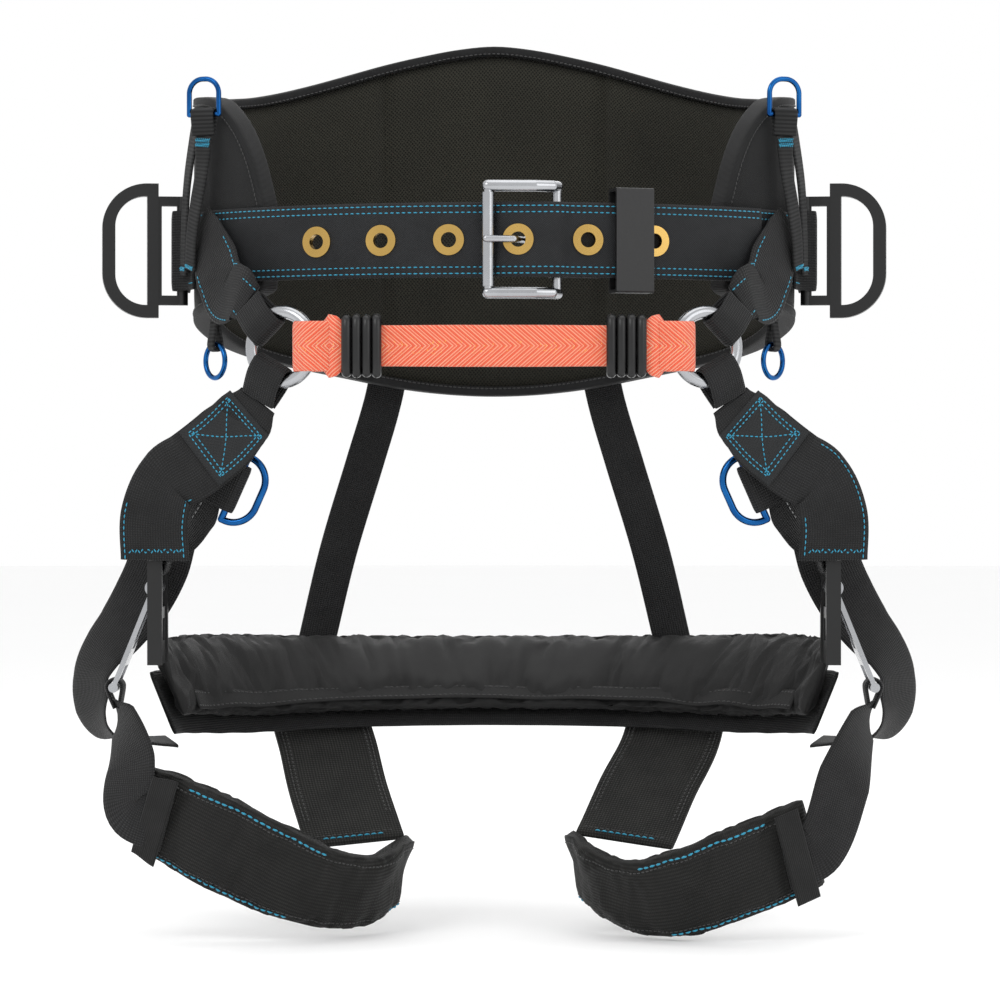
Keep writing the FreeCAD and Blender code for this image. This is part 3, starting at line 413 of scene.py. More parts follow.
def rounded_outline(width, depth, power=5.0, count=28):
    outline = []
    for i in range(count):
        t = 2 * math.pi * i / count
        c, s = math.cos(t), math.sin(t)
        outline.append((math.copysign(abs(c) ** (2 / power), c) * width / 2,
                        math.copysign(abs(s) ** (2 / power), s) * depth / 2))
    return outline


def tape(name, dark, light, pitch):
    """Narrow woven tape with fine ribs across it, pitch ribs per millimetre."""
    material, tree, shader = finish_named(name, light, 0.66, Sheen_Weight=0.04, Specular_IOR_Level=0.25)
    place = cloth_place(tree, 1.2, pitch)
    ribs = waves(tree, place, "Y")
    fine = waves(tree, place, "X")
    height = sums(tree, "ADD", ribs, sums(tree, "MULTIPLY", fine, 0.3))
    two_tone(tree, shader, sums(tree, "MULTIPLY", ribs, object_noise(tree, 60, 4)), dark, light)
    raised(tree, shader, height, 0.22, 0.9)
    return material


edge_tape = tape("edge_tape", (0.003, 0.003, 0.0032), (0.022, 0.0225, 0.0235), 1.3)
edge_places = pad_edge()
binding = swept("pad_binding", edge_places, rounded_outline(BINDING_WIDTH, binding_depth))
dressed(binding, edge_tape, "harness", "binding", "back_pad_binding")


def thread(name, colour):
    material, tree, shader = finish_named(name, colour, 0.42, Sheen_Weight=0.25, Specular_IOR_Level=0.5)
    twist = object_noise(tree, 1500, 2)
    dark = tuple(c * 0.55 for c in colour)
    two_tone(tree, shader, twist, dark, tuple(min(1, c * 1.25) for c in colour))
    raised(tree, shader, twist, 0.08, 0.7)
    return material


thread_teal = thread("thread_teal", (0.0, 0.27, 0.43))
thread_black = thread("thread_black", (0.02, 0.02, 0.02))
thread_grey = thread("thread_grey", (0.42, 0.43, 0.43))


def stitch_row(places, sink=0.25, size=0.56, pitch=3.6, share=0.72):
    """Points and faces of a row of stitches along places (point, normal), all in metres."""
    points, faces = [], []
    distance, marks = 0.0, [0.0]
    for (a, n), (b, m) in zip(places, places[1:]):
        distance += (b - a).length / MM
        marks.append(distance)

    def at(d):
        for i in range(len(marks) - 1):
            if d <= marks[i + 1]:
                t = (d - marks[i]) / max(1e-6, marks[i + 1] - marks[i])
                (p, n), (q, m) = places[i], places[i + 1]
                return p.lerp(q, t), n.lerp(m, t).normalized()
        return places[-1]

    start = 0.0
    while start + pitch * share < distance:
        base = len(points)
        rings = 5
        for k in range(rings):
            d = start + pitch * share * k / (rings - 1)
            p, n = at(d)
            q, m = at(min(d + 0.3, distance))
            way = (q - p).normalized() if (q - p).length > 1e-7 else Vector((0, 0, 1))
            side = way.cross(n).normalized()
            swell = math.sin(math.pi * (0.12 + 0.76 * k / (rings - 1)))
            rise = (swell - 0.55) * size * 0.9 - sink * 0.2
            for c in range(6):
                t = 2 * math.pi * c / 6
                points.append(p + n * ((rise + math.sin(t) * size * 0.55 * swell) * MM)
                              + side * (math.cos(t) * size * 0.75 * swell * MM))
        faces += skin(rings, 6, base=base)
        start += pitch
    return points, faces


def sewn(name, rows, material, body, slot, **how):
    """One piece from several rows of stitches."""
    points, faces = [], []
    for places in rows:
        p, f = stitch_row(places, **how)
        faces += [tuple(i + len(points) for i in face) for face in f]
        points += p
    piece = made_of(name, points, faces)
    outward(piece)
    return dressed(piece, material, body, slot)


def edge_row(sideways, out):
    places = []
    count = len(edge_places)
    for i, (p, n) in enumerate(edge_places):
        way = (edge_places[(i + 1) % count][0] - edge_places[i - 1][0]).normalized()
        side = way.cross(n).normalized()
        places.append((p + side * (sideways * MM) + n * (out * MM), n if out > 0 else -n))
    return places


edge_in = 1.9
sewn("pad_binding_stitches", [edge_row(edge_in, binding_depth / 2), edge_row(edge_in, -binding_depth / 2)],
     thread_black, "harness", "binding", pitch=3.0)

# ---------------------------------------------------------------- waist belt
# Two layers of 45 mm polyester webbing: the punched tongue outside and the
# buckle's half under it, both with two rows of teal thread along each edge.
FRAME_LEFT = -7.5           # run of the buckle frame's left outer face
FRAME_LENGTH = 49.0
FRAME_BAR = 7.0
PIVOT_BAR = 5.6
BELT_HIP_END = 208.0        # run at which both halves are sewn to the back web
TONGUE_END = 172.0
GROMMET_PITCH = 41.2
GROMMET_COUNT = 6
BUCKLED_HOLE = 3            # the prong's grommet, counted from the tail's far end
BUCKLED_HOLE_RUN = 14.2
BESIDE_GROMMET = 10.8       # the tongue lies straight this far each side of a grommet
BELT_MIDDLE = BELT_THICK / 2
TONGUE_LIFT = BELT_THICK + 1.3 + BELT_MIDDLE
frame_run = FRAME_LEFT + FRAME_LENGTH / 2
frame_origin, frame_out = waist(frame_run)
frame_way = Vector((-frame_out.y, frame_out.x, 0))
bar_reach = FRAME_LENGTH / 2 - FRAME_BAR / 2


def dip(along):
    """How far the belt's curve falls below the buckle's flat plane."""
    return along * along / (2 * WAIST_ARCS[0][0])


def at_buckle(along, out):
    return frame_origin + frame_way * along + frame_out * out


def steps(first, last, step=14):
    """Runs from first, a step apart, that stay short of last."""
    return [first + step * i for i in range(int(math.ceil((last - first) / step)))]


pivot_out = -GAP / 2 - dip(bar_reach)
loop_radius = PIVOT_BAR / 2 + 0.85 + BELT_MIDDLE


def tongue_places():
    """The tongue: on the under belt, up through the buckle's frame and on over the other half."""
    holes = [BUCKLED_HOLE_RUN + GROMMET_PITCH * (i - BUCKLED_HOLE) for i in range(GROMMET_COUNT)]
    low = steps(-BELT_HIP_END, holes[0] - BESIDE_GROMMET - 5)
    low += [run + side for run in holes[:BUCKLED_HOLE] for side in (-BESIDE_GROMMET, BESIDE_GROMMET)]
    high = [run + side for run in holes[BUCKLED_HOLE + 1:] for side in (-BESIDE_GROMMET, BESIDE_GROMMET)]
    high += steps(holes[-1] + BESIDE_GROMMET + 14, TONGUE_END - 5) + [TONGUE_END]
    hole = BUCKLED_HOLE_RUN - frame_run
    climb = [(-bar_reach - 4, BELT_MIDDLE - dip(bar_reach) - 0.2), (-bar_reach + 3, BELT_MIDDLE - 0.3),
             (hole - BESIDE_GROMMET, 4.0), (hole + BESIDE_GROMMET, 7.2),
             (bar_reach, pivot_out + loop_radius + BELT_THICK + GAP + 1.1)]
    return (on_waist([(run, BELT_MIDDLE, 0) for run in low], BELT_WIDTH)
            + [(at_buckle(along, out), frame_out, BELT_WIDTH) for along, out in climb]
            + on_waist([(run, TONGUE_LIFT, 0) for run in high], BELT_WIDTH))


def under_places():
    """The buckle's half: back under itself, round the frame's pivot bar and out to the hip."""
    places = [(at_buckle(46, -GAP - BELT_MIDDLE - dip(46)), -frame_out, BELT_WIDTH),
              (at_buckle(34, -GAP - BELT_MIDDLE - dip(34) - 0.1), -frame_out, BELT_WIDTH),
              (at_buckle(bar_reach + 7, pivot_out - 3.4), -frame_out, BELT_WIDTH)]
    for degrees in (285, 250, 215, 180, 145, 110, 75):
        angle = math.radians(degrees)
        way = frame_way * math.cos(angle) + frame_out * math.sin(angle)
        places.append((at_buckle(bar_reach, pivot_out) + way * loop_radius, way, BELT_WIDTH))
    places.append((at_buckle(bar_reach + 7, BELT_MIDDLE - dip(bar_reach + 7) + 0.3), frame_out, BELT_WIDTH))
    places.append((at_buckle(34, BELT_MIDDLE - dip(34)), frame_out, BELT_WIDTH))
    first = frame_run + 44
    return places + on_waist([(first + (BELT_HIP_END - first) * i / 10, BELT_MIDDLE, 0) for i in range(11)],
                             BELT_WIDTH)


TONGUE = along_web(tongue_places())
BUCKLE_HALF = along_web(under_places())
GROMMETS = [(-106.64, -99.75), (-67.7, -113.6), (-27.06, -121.12), (14.56, -126.67), (56.03, -120.43),
            (96.2, -108.34)]
GROMMET_BARREL = 5.25


def path_of(stations, step=3.0):
    """Closely spaced places on a web: point, face, across, width, distance; all in mm."""
    spots = [Vector(s[:3]) for s in stations]
    gaps = [(b - a).length for a, b in zip(spots, spots[1:])]
    slopes = []
    for i in range(len(spots)):
        if 0 < i < len(spots) - 1:
            slopes.append((spots[i + 1] - spots[i - 1]) / (gaps[i] + gaps[i - 1]))
        elif i == 0:
            slopes.append((spots[1] - spots[0]) / gaps[0])
        else:
            slopes.append((spots[-1] - spots[-2]) / gaps[-1])
    path = []
    for i, gap in enumerate(gaps):
        count = max(1, int(math.ceil(gap / step)))
        for k in range(count + (i == len(gaps) - 1)):
            t = k / count
            h = 2 * t ** 3 - 3 * t ** 2 + 1
            p = (spots[i] * h + spots[i + 1] * (1 - h) + slopes[i] * gap * (t ** 3 - 2 * t ** 2 + t)
                 + slopes[i + 1] * gap * (t ** 3 - t ** 2))
            n = Vector(stations[i][3:6]).lerp(Vector(stations[i + 1][3:6]), t)
            w = stations[i][6] * h + stations[i + 1][6] * (1 - h)
            path.append([p, n, w])
    places = []
    distance = 0.0
    for i, (p, n, w) in enumerate(path):
        way = path[min(i + 1, len(path) - 1)][0] - path[max(i - 1, 0)][0]
        across = way.cross(n).normalized()
        face = across.cross(way).normalized()
        if i:
            distance += (p - path[i - 1][0]).length
        places.append((p, face, across, w, distance))
    return places


def webbing(name, stations, thick, material, body, nodes, slot, step=3.0, columns=11, cup=0.0, wave=0.15):
    """A length of flat webbing with rounded edges; cup bows it across, wave makes its edges wander."""
    places = path_of(stations, step)
    points, uvs = [], []
    for p, face, across, width, distance in places:
        wander = noise.noise(Vector((distance * 0.03, width, thick * 3))) * wave
        for side in (1, -1):
            for j in range(columns):
                a = -1 + 2 * j / (columns - 1)
                a = math.sin(a * math.pi / 2) * side
                half = thick / 2 * (1 - abs(a) ** 14 * 0.62)
                lift = cup * (1 - a * a) + wander * a
                points.append((p + across * (a * width / 2) + face * (side * half + lift)) * MM)
                uvs.append((a * width / 2, distance))
    piece = made_of(name, points, skin(len(places), 2 * columns), uvs)
    outward(piece)
    return dressed(piece, material, body, slot, *nodes)


def woven(name, dark, light, along=0.55, across=0.8, slant=0.0, height=0.3, rough=0.6, sheen=0.05):
    """Heavy woven webbing: ribs along it crossed by weft, slant turns the ribs into a twill."""
    material, tree, shader = finish_named(name, light, rough, Sheen_Weight=sheen, Sheen_Roughness=0.4,
                                          Specular_IOR_Level=0.25)
    place = cloth_place(tree, 1.0, 1.0)
    turned = put(tree, "ShaderNodeMapping", Vector=place, Rotation=(0, 0, slant),
                 Scale=(across, along, 1)).outputs[0]
    ribs = waves(tree, turned, "X")
    weft = waves(tree, turned, "Y")
    weave = sums(tree, "MULTIPLY", sums(tree, "ADD", ribs, 0.25), sums(tree, "ADD", weft, 0.45))
    cloud = object_noise(tree, 45, 5, 0.6)
    two_tone(tree, shader, sums(tree, "MULTIPLY", weave, cloud), dark, light)
    soft = raised(tree, shader, object_noise(tree, 90, 3), 0.8, 0.22)
    raised(tree, shader, weave, height, 0.9, soft)
    return material


belt_weave = woven("belt_weave", (0.0022, 0.0024, 0.0028), (0.022, 0.024, 0.027), 1.1, 1.1, 0.6, 0.2, 0.5)
tongue = webbing("belt_tongue_webbing", TONGUE, BELT_THICK, belt_weave, "harness", (), "belt_webbing")
under_belt = webbing("belt_buckle_half", BUCKLE_HALF, BELT_THICK, belt_weave, "harness", (), "belt_webbing",
                     2.0)


def bored(piece, spots, radius):
    """Punch holes through a web, square to it, at (x, y, outward x, outward y) in mm."""
    for x, y, nx, ny in spots:
        bpy.ops.mesh.primitive_cylinder_add(vertices=40, radius=radius * MM, depth=12 * MM)
        punch = bpy.context.object
        punch.rotation_euler = Vector((nx, ny, 0)).to_track_quat("Z", "Y").to_euler()
        punch.location = (x * MM, y * MM, 0)
        cut = piece.modifiers.new("hole", "BOOLEAN")
        cut.operation = "DIFFERENCE"
        cut.solver = "EXACT"
        cut.object = punch
        bpy.context.view_layer.objects.active = piece
        bpy.ops.object.modifier_apply(modifier=cut.name)
        bpy.data.objects.remove(punch)


def facing(x, y, stations):
    near = min(stations, key=lambda s: (s[0] - x) ** 2 + (s[1] - y) ** 2)
    i = stations.index(near)
    i = i if near[0] <= x else i - 1
    a, b = stations[i], stations[i + 1]
    way = Vector((b[0] - a[0], b[1] - a[1])).normalized()
    return way.y, -way.x


bored(tongue, [(x, y, *facing(x, y, TONGUE)) for x, y in GROMMETS], GROMMET_BARREL)
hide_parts("belt_tongue")
bpy.ops.mesh.primitive_cube_add(size=1)
slot_cutter = bpy.context.object
slot_cutter.scale = (13.5 * MM, 24 * MM, 8.2 * MM)
slot_cutter.location = (37.6 * MM, -118.5 * MM, 0)
cut = under_belt.modifiers.new("prong slot", "BOOLEAN")
cut.solver = "EXACT"
cut.object = slot_cutter
bpy.context.view_layer.objects.active = under_belt
bpy.ops.object.modifier_apply(modifier=cut.name)
bpy.data.objects.remove(slot_cutter)
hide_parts("belt_right")


def onto(piece, places, reach=16.0, proud=0.12):
    """Lay a stitch row on a piece's surface, straight in from outside."""
    tree = BVHTree.FromObject(piece, bpy.context.evaluated_depsgraph_get())
    laid = []
    for p, n in places:
        hit, normal, index, distance = tree.ray_cast(p + n * (reach * MM), -n, 2 * reach * MM)
        if hit is not None:
            laid.append((hit + normal * (proud * MM), normal))
    return laid


def web_row(stations, shift, lift, first=0.0, last=1e9, step=3.0):
    """Places for a stitch row on a web: shift across, lift out from its middle, between distances."""
    places = []
    for p, face, across, width, distance in path_of(stations, step):
        if first <= distance <= last:
            places.append(((p + across * shift + face * lift) * MM, face if lift > 0 else -face))
    return places


belt_rows = [web_row(TONGUE, shift, BELT_THICK / 2 - 0.05) for shift in (-20.2, -16.4, 16.4, 20.2)]
sewn("belt_stitches", belt_rows, thread_teal, "harness", "belt_webbing")
under_rows = [web_row(BUCKLE_HALF, shift, BELT_THICK / 2 - 0.05, 46) for shift in (-20.2, -16.4, 16.4, 20.2)]
sewn("belt_buckle_half_stitches", under_rows, thread_teal, "harness", "belt_webbing")

BACK_BELT = []
for x, y, nx, ny, low, high in PAD_ROWS[5:28]:
    BACK_BELT.append((x + nx * 1.3, y + ny * 1.3, 0, nx, ny, 0, 45))
BACK_BELT = [(183.6, -35.6, 0, 0.9, -0.44, 0, 45)] + BACK_BELT + [(-183.6, -35.6, 0, -0.9, -0.44, 0, 45)]
webbing("belt_back_webbing", BACK_BELT, 2.5, belt_weave, "harness", ("belt_back_web",), "belt_webbing")
sewn("belt_back_stitches", [web_row(BACK_BELT, shift, 1.2) for shift in (-20.2, -16.4, 16.4, 20.2)],
     thread_teal, "harness", "belt_webbing")


# ---------------------------------------------------------------- grommets
# Six spun brass eyelets through the tongue, all in one polished brass finish.
def polished(name, colour, rough, scratch=0.25, metallic=1.0, dark=0.7):
    material, tree, shader = finish_named(name, colour, rough, Metallic=metallic)
    fine = object_noise(tree, 700, 5, 0.6)
    broad = object_noise(tree, 30, 3)
    low = tuple(c * dark for c in colour)
    two_tone(tree, shader, broad, low, colour)
    spread = put(tree, "ShaderNodeMapRange", Value=fine,
                 **{"To Min": rough * 0.7, "To Max": min(1.0, rough * 1.5)}).outputs[0]
    tree.links.new(spread, shader.inputs["Roughness"])
    raised(tree, shader, fine, 0.12, scratch)
    return material


def refinish(material, *names):
    """Give CAD nodes their finish."""
    for name in names:
        piece = NODES[name]
        for i in range(len(piece.material_slots)):
            piece.material_slots[i].link = "DATA"
        piece.data.materials.clear()
        piece.data.materials.append(material)


refinish(polished("brass", (0.62, 0.40, 0.12), 0.22, 0.15, dark=0.6), "belt_grommets")

# ---------------------------------------------------------------- buckle
# A bright plated roller buckle: a round-bar frame whose right ends drop to the
# belt, a roller on the left bar and a bent prong through the fourth eyelet.
steel = polished("plated_steel", (0.50, 0.51, 0.53), 0.2, 0.2, dark=0.6)
refinish(steel, "buckle_frame", "buckle_roller", "buckle_prong")

# ---------------------------------------------------------------- belt keeper
# A black painted flat-metal loop that slides along both layers of the belt.
black_paint = polished("black_paint", (0.0045, 0.0045, 0.005), 0.38, 0.3, metallic=0.0, dark=0.7)
refinish(black_paint, "belt_keeper")

# ---------------------------------------------------------------- side rings and their webs
# Black anodised tool-lanyard rings, each on a bar held to the hip by a wide web.
black_metal = polished("black_anodising", (0.006, 0.0063, 0.0066), 0.34, 0.25, metallic=0.2, dark=0.6)
refinish(black_metal, "left_side_ring", "right_side_ring")
SIDE_RING_RUN = 236.0
SIDE_HINGE_BAR = 7.0
side_axis, side_out = waist(SIDE_RING_RUN, BELT_THICK + GAP + SIDE_HINGE_BAR / 2)
side_way = Vector((-side_out.y, side_out.x, 0))


def side_loop():
    """The web over a side ring's hinge bar, sewn to the belt before and behind it."""
    flat_out = BELT_THICK + 0.2 + WEB_THICK / 2
    reach = SIDE_HINGE_BAR / 2 + 1.0 + WEB_THICK / 2
    places = on_waist([(SIDE_RING_RUN - 24, flat_out, 0), (SIDE_RING_RUN - 11, flat_out, 0)], 50)
    for degrees in (160, 125, 90, 55, 20):
        angle = math.radians(degrees)
        way = side_way * math.cos(angle) + side_out * math.sin(angle)
        places.append((side_axis + way * reach, way, 50))
    return places + on_waist([(SIDE_RING_RUN + 11, flat_out, 0), (SIDE_RING_RUN + 24, flat_out, 0)], 50)


SIDE_LOOP = along_web(side_loop())
web_weave = woven("web_weave", (0.0018, 0.0018, 0.002), (0.024, 0.0243, 0.025), 0.75, 0.62, 0.0, 0.36, 0.62)


def strap(name, stations, node=None, step=3.0, thick=WEB_THICK, **how):
    """A web of the common weave on the harness itself."""
    webbing(name, stations, thick, web_weave, "harness", (node,) if node else (), "webbing", step, **how)


for side, stations in (("right", SIDE_LOOP), ("left", other_side(SIDE_LOOP))):
    strap(side + "_side_ring_web", stations, side + "_side_ring_loop", 1.5)
    rows = [web_row(stations, shift, 1.15, a, b, 1.5) for shift in (-21, 21) for a, b in ((0, 13), (36, 60))]
    sewn(side + "_side_ring_stitches", rows, thread_teal, "harness", "webbing")

# ---------------------------------------------------------------- bridge rings and hip webs
# Forged steel rings that carry the bridge; a hip web and a leg web are looped
# round each, their ends sewn back on themselves.
refinish(steel, "left_bridge_ring", "right_bridge_ring")


def round_bar(centre, to_leg, face, bar, width, leg, thick, bow=0.0):
    """Stations of a web that goes round a bar: out along one leg, round, and back."""
    centre, to_leg, face = Vector(centre), Vector(to_leg).normalized(), Vector(face).normalized()
    radius = bar / 2 + 0.7 + thick / 2
    spots = [(leg, thick / 2 + 0.05, 0, 1), (leg * 0.55, radius * 0.62, -0.25, 1), (0.0, radius, 0, 1)]
    for degrees in (60, 30, 0, -30, -60):
        t = math.radians(degrees)
        spots.append((-bow - radius * math.cos(t), radius * math.sin(t), -math.cos(t), math.sin(t)))
    spots += [(0.0, -radius, 0, -1), (leg * 0.55, -radius * 0.62, -0.25, -1), (leg, -thick / 2 - 0.05, 0, -1)]
    stations = []
    for a, b, c, d in spots:
        p = centre + to_leg * a + face * b
        n = to_leg * c + face * d
        stations.append((p.x, p.y, p.z, n.x, n.y, n.z, width))
    return stations


RING = Vector((127.5, -114.0, -64.0))         # middle of the right bridge ring
RING_MIDDLE = 21.0          # radius of its bar's middle
RING_TURN = math.radians(28.0)
ring_across = Vector((math.cos(RING_TURN), math.sin(RING_TURN), 0))
ring_face = Vector((math.sin(RING_TURN), -math.cos(RING_TURN), 0))


def from_ring(degrees, leg=16.0):
    """Where a web's loop leaves the bridge ring at an angle, and which way."""
    angle = math.radians(degrees)
    way = ring_across * math.cos(angle) + Vector((0, 0, math.sin(angle)))
    return RING + way * (RING_MIDDLE + leg), way


def stepped(start, spots):
    """Web places from a start, each as a step from it, an outward direction and a width."""
    return [(start + Vector(step), face, width) for step, face, width in spots]


hip_end, hip_way = from_ring(48)
hip_places = [(hip_end - hip_way, ring_face, 26), (hip_end + hip_way * 7 + Vector((1, 3, 0)), ring_face, 34)]
for run, face_run, out, z, width in ((170, 168, 10.6, -27, 43), (178, 178, 8.9, -14, 43),
                                     (190, 190, 6.3, 2, 39), (200, 200, 4.8, 16, 29)):
    hip_places.append((waist(run, out, z)[0], waist(face_run)[1], width))
HIP_WEB = along_web(hip_places)
HIP_LOOP = round_bar((139.91, -107.4, -48.39), (0.591, 0.314, 0.743), (0.469, -0.883, 0), 8, 22,
                     14.5, 2.2, 4.04)
for side, turn in SIDES:
    strap(side + "_hip_webbing", turn(HIP_WEB), side + "_hip_web", 2.0)
    strap(side + "_hip_ring_loop", turn(HIP_LOOP), step=1.2, thick=2.2)
    rows = [web_row(turn(HIP_WEB), shift, 1.15, a, b, 2.0)
            for shift, a, b in ((-17.5, 18, 62), (17.5, 18, 62), (10.0, 0, 12), (-10.0, 0, 12))]
    sewn(side + "_hip_stitches", rows, thread_teal, "harness", "webbing")

# ---------------------------------------------------------------- bridge
# The load-bearing strap across the front: a flat orange sling with a woven
# chevron, its ends gathered round the rings, and rubber bands over each end.
BRIDGE = [
    (-101.5, -128.0, -64, -0.48, -0.88, 0, 30), (-98.4, -129.9, -64, -0.48, -0.88, 0, 38),
    (-94.4, -132.2, -64, -0.4, -0.9, 0, 36), (-88.5, -133, -64, -0.04, -1, 0, 26),
    (-64, -133, -64, 0, -1, 0, 24.5), (-20, -133, -64, 0, -1, 0, 25)]
BRIDGE = BRIDGE + other_side(BRIDGE)[::-1]
BRIDGE_LOOP = round_bar((108.96, -123.86, -64), (-0.883, -0.469, 0), (0.469, -0.883, 0), 8, 30, 13, 2.8, 4.96)


def chevron_web():
    """Orange sling webbing: slanting bands of orange, pale pink and white with yellow flecks."""
    material, tree, shader = finish_named("chevron_web", (0.85, 0.2, 0.09), 0.55, Sheen_Weight=0.3,
                                          Specular_IOR_Level=0.4)
    place = cloth_place(tree, 1.0, 1.0)
    apart = put(tree, "ShaderNodeSeparateXYZ", Vector=place)
    fold = sums(tree, "ABSOLUTE", apart.outputs[0], 0.0)
    slanted = sums(tree, "ADD", apart.outputs[1], sums(tree, "MULTIPLY", fold, 1.15))
    band = sums(tree, "FRACT", sums(tree, "MULTIPLY", slanted, 1 / 5.4), 0.0)
    ramp = put(tree, "ShaderNodeValToRGB", Fac=band)
    stops = ramp.color_ramp
    stops.interpolation = "EASE"
    tints = [(0.0, (0.80, 0.085, 0.03)), (0.38, (0.84, 0.12, 0.045)), (0.46, (0.90, 0.42, 0.28)),
             (0.58, (0.88, 0.30, 0.18)), (0.66, (0.78, 0.075, 0.028)), (0.86, (0.84, 0.17, 0.08)),
             (0.95, (0.92, 0.46, 0.30))]
    stops.elements[0].color = (*tints[0][1], 1)
    stops.elements[1].position = tints[-1][0]
    stops.elements[1].color = (*tints[-1][1], 1)
    for position, tint in tints[1:-1]:
        stops.elements.new(position).color = (*tint, 1)
    fleck_place = put(tree, "ShaderNodeMapping", Vector=place, Scale=(0.42, 0.8, 1)).outputs[0]
    flecks = put(tree, "ShaderNodeTexVoronoi", Vector=fleck_place, Scale=1.0,
                 Randomness=1.0).outputs["Distance"]
    fleck = put(tree, "ShaderNodeMapRange", Value=flecks,
                **{"From Min": 0.22, "From Max": 0.14, "To Max": 0.75}).outputs[0]
    middle = put(tree, "ShaderNodeMapRange", Value=fold, **{"From Min": 7.0, "From Max": 3.0}).outputs[0]
    mix = put(tree, "ShaderNodeMix", {"data_type": "RGBA"}, i0=sums(tree, "MULTIPLY", fleck, middle),
              i6=ramp.outputs[0], i7=(0.95, 0.55, 0.05, 1))
    tree.links.new(mix.outputs[2], shader.inputs["Base Color"])
    strands = sums(tree, "MULTIPLY", put(tree, "ShaderNodeMath", {"operation": "PINGPONG"}, i0=slanted,
                                         i1=0.65).outputs[0], 1.5)
    raised(tree, shader, strands, 0.4, 0.9)
    return material


chevron = chevron_web()
webbing("bridge_sling", BRIDGE, 3.8, chevron, "harness", ("bridge_webbing",), "bridge_webbing", 2.0, 15, 0.5)
for side, turn in SIDES:
    webbing(side + "_bridge_eye", turn(BRIDGE_LOOP), 2.8, chevron, "harness", (), "bridge_webbing", 1.2, 13)

# ---------------------------------------------------------------- bridge bands
# Four moulded rubber rings joined side by side, a firm sliding fit on the sling.
rubber, tree, shader = finish_named("band_rubber", (0.006, 0.006, 0.0065), 0.3, Specular_IOR_Level=0.4)
two_tone(tree, shader, object_noise(tree, 60, 4), (0.003, 0.003, 0.003), (0.010, 0.010, 0.0105))
raised(tree, shader, object_noise(tree, 500, 4), 0.08, 0.35)
BAND_PITCH = 6.0


def band_outline(height, depth, bend):
    """A ring's course round the sling, in the plane across it: (outwards, upwards)."""
    course = []
    for i in range(56):
        t = 2 * math.pi * i / 56
        c, s = math.cos(t), math.sin(t)
        course.append((math.copysign(abs(c) ** (2 / bend), c) * depth / 2,
                       math.copysign(abs(s) ** (2 / bend), s) * height / 2))
    return course


for side, sign in (("right", 1), ("left", -1)):
    points, faces = [], []
    for i in range(4):
        x = (79 + (i - 1.5) * BAND_PITCH) * sign
        course = band_outline(33.0 - (i % 2) * 0.8, 10.4, 4.0)
        base = len(points)
        for k, (a, b) in enumerate(course):
            before, after = course[k - 1], course[(k + 1) % len(course)]
            way = Vector((after[0] - before[0], after[1] - before[1])).normalized()
            for c in range(12):
                t = 2 * math.pi * c / 12
                out = math.cos(t) * 2.85
                points.append(Vector((x + math.sin(t) * 3.0, -133.0 + a + way.y * out,
                                      -64 + b - way.x * out)) * MM)
        faces += skin(len(course), 12, True, base)
    bands = made_of(side + "_bridge_rubber_bands", points, faces)
    outward(bands)
    dressed(bands, rubber, side + "_bridge_bands", "rubber", side + "_bridge_bands")

# ---------------------------------------------------------------- leg webs
# 43 mm webs from the rings down to the thigh buckles, each with a box-and-cross
# sewn patch of doubled webbing near the ring and a thigh ring on a web behind.
leg_end, leg_way = from_ring(-62)
LEG_WEB = along_web([(leg_end - leg_way, ring_face, 28)] + stepped(leg_end, [
    ((7, 1, -9), (0.35, -0.93, 0), 38), ((21, 5, -23), (0.3, -0.94, -0.1), WEB_WIDTH),
    ((40, 9, -38), (0.3, -0.93, -0.2), WEB_WIDTH), ((56, 16, -48), (0.4, -0.9, 0.05), WEB_WIDTH),
    ((64, 20, -70), (0.2, -0.97, 0), WEB_WIDTH), ((64, 25, -96), (0.18, -0.97, -0.15), WEB_WIDTH)]))
LEG_LOOP_RING = round_bar((136.2, -109.37, -82.54), (0.415, 0.22, -0.883), (0.469, -0.883, 0), 8, 24,
                          14.5, 2.2, 4.96)
PATCH = [(155.1, -99.8, -112.1, 0.31, -0.95, 0.04, 38), (163.1, -97.5, -119.6, 0.21, -0.98, -0.02, 38),
         (179.5, -94.1, -132.2, 0.15, -0.99, -0.08, 38)]
COVER = [(147.6, -106.2, -103.4, 0.33, -0.94, 0.06, 38), (152.8, -104.6, -108.6, 0.3, -0.95, 0.04, 40),
         (163.8, -102.6, -119.7, 0.22, -0.98, -0.02, 41), (178.5, -99.8, -131.4, 0.22, -0.97, -0.1, 41)]
THIGH_WEB = along_web(stepped(Vector((200.5, -52, -186.6)), [
    ((0, 0, 0), (0.87, 0, 0.5), 32), ((-4, -4, 4), (0.8, -0.3, 0.5), 34),
    ((-12, -12, 13), (0.6, -0.7, 0.4), 36), ((-20, -21, 25), (0.4, -0.88, 0.3), 32),
    ((-26.5, -27, 36), (0.3, -0.93, 0.2), 22)]))
THIGH_RING_LOOP = round_bar((157.84, -83.85, -148.67), (0.902, 0.135, 0.41), (0.148, -0.989, 0), 4.4, 30,
                            14, 2.2)
THIGH_BAR_LOOP = round_bar((206.5, -52, -197), (-0.5, 0, 0.866), (-0.866, 0, -0.5), 6, 34, 12.5, 2.2)
patch_weave = woven("patch_weave", (0.0035, 0.004, 0.0045), (0.024, 0.026, 0.028), 1.1, 1.1, 0.6, 0.16, 0.45)


def bar_tack(stations, distance, width, lift, zigs=7):
    """A close zigzag of thread across a strap."""
    places = path_of(stations, 1.0)
    q = min(places, key=lambda r: abs(r[4] - distance))
    way = q[1].cross(q[2]).normalized()
    row = []
    for k in range(2 * zigs + 1):
        t = (k / zigs - 1)
        zig = 1.3 if k % 2 else -1.3
        row.append(((q[0] + q[2] * (t * width / 2) + way * zig + q[1] * lift) * MM, q[1]))
    return row


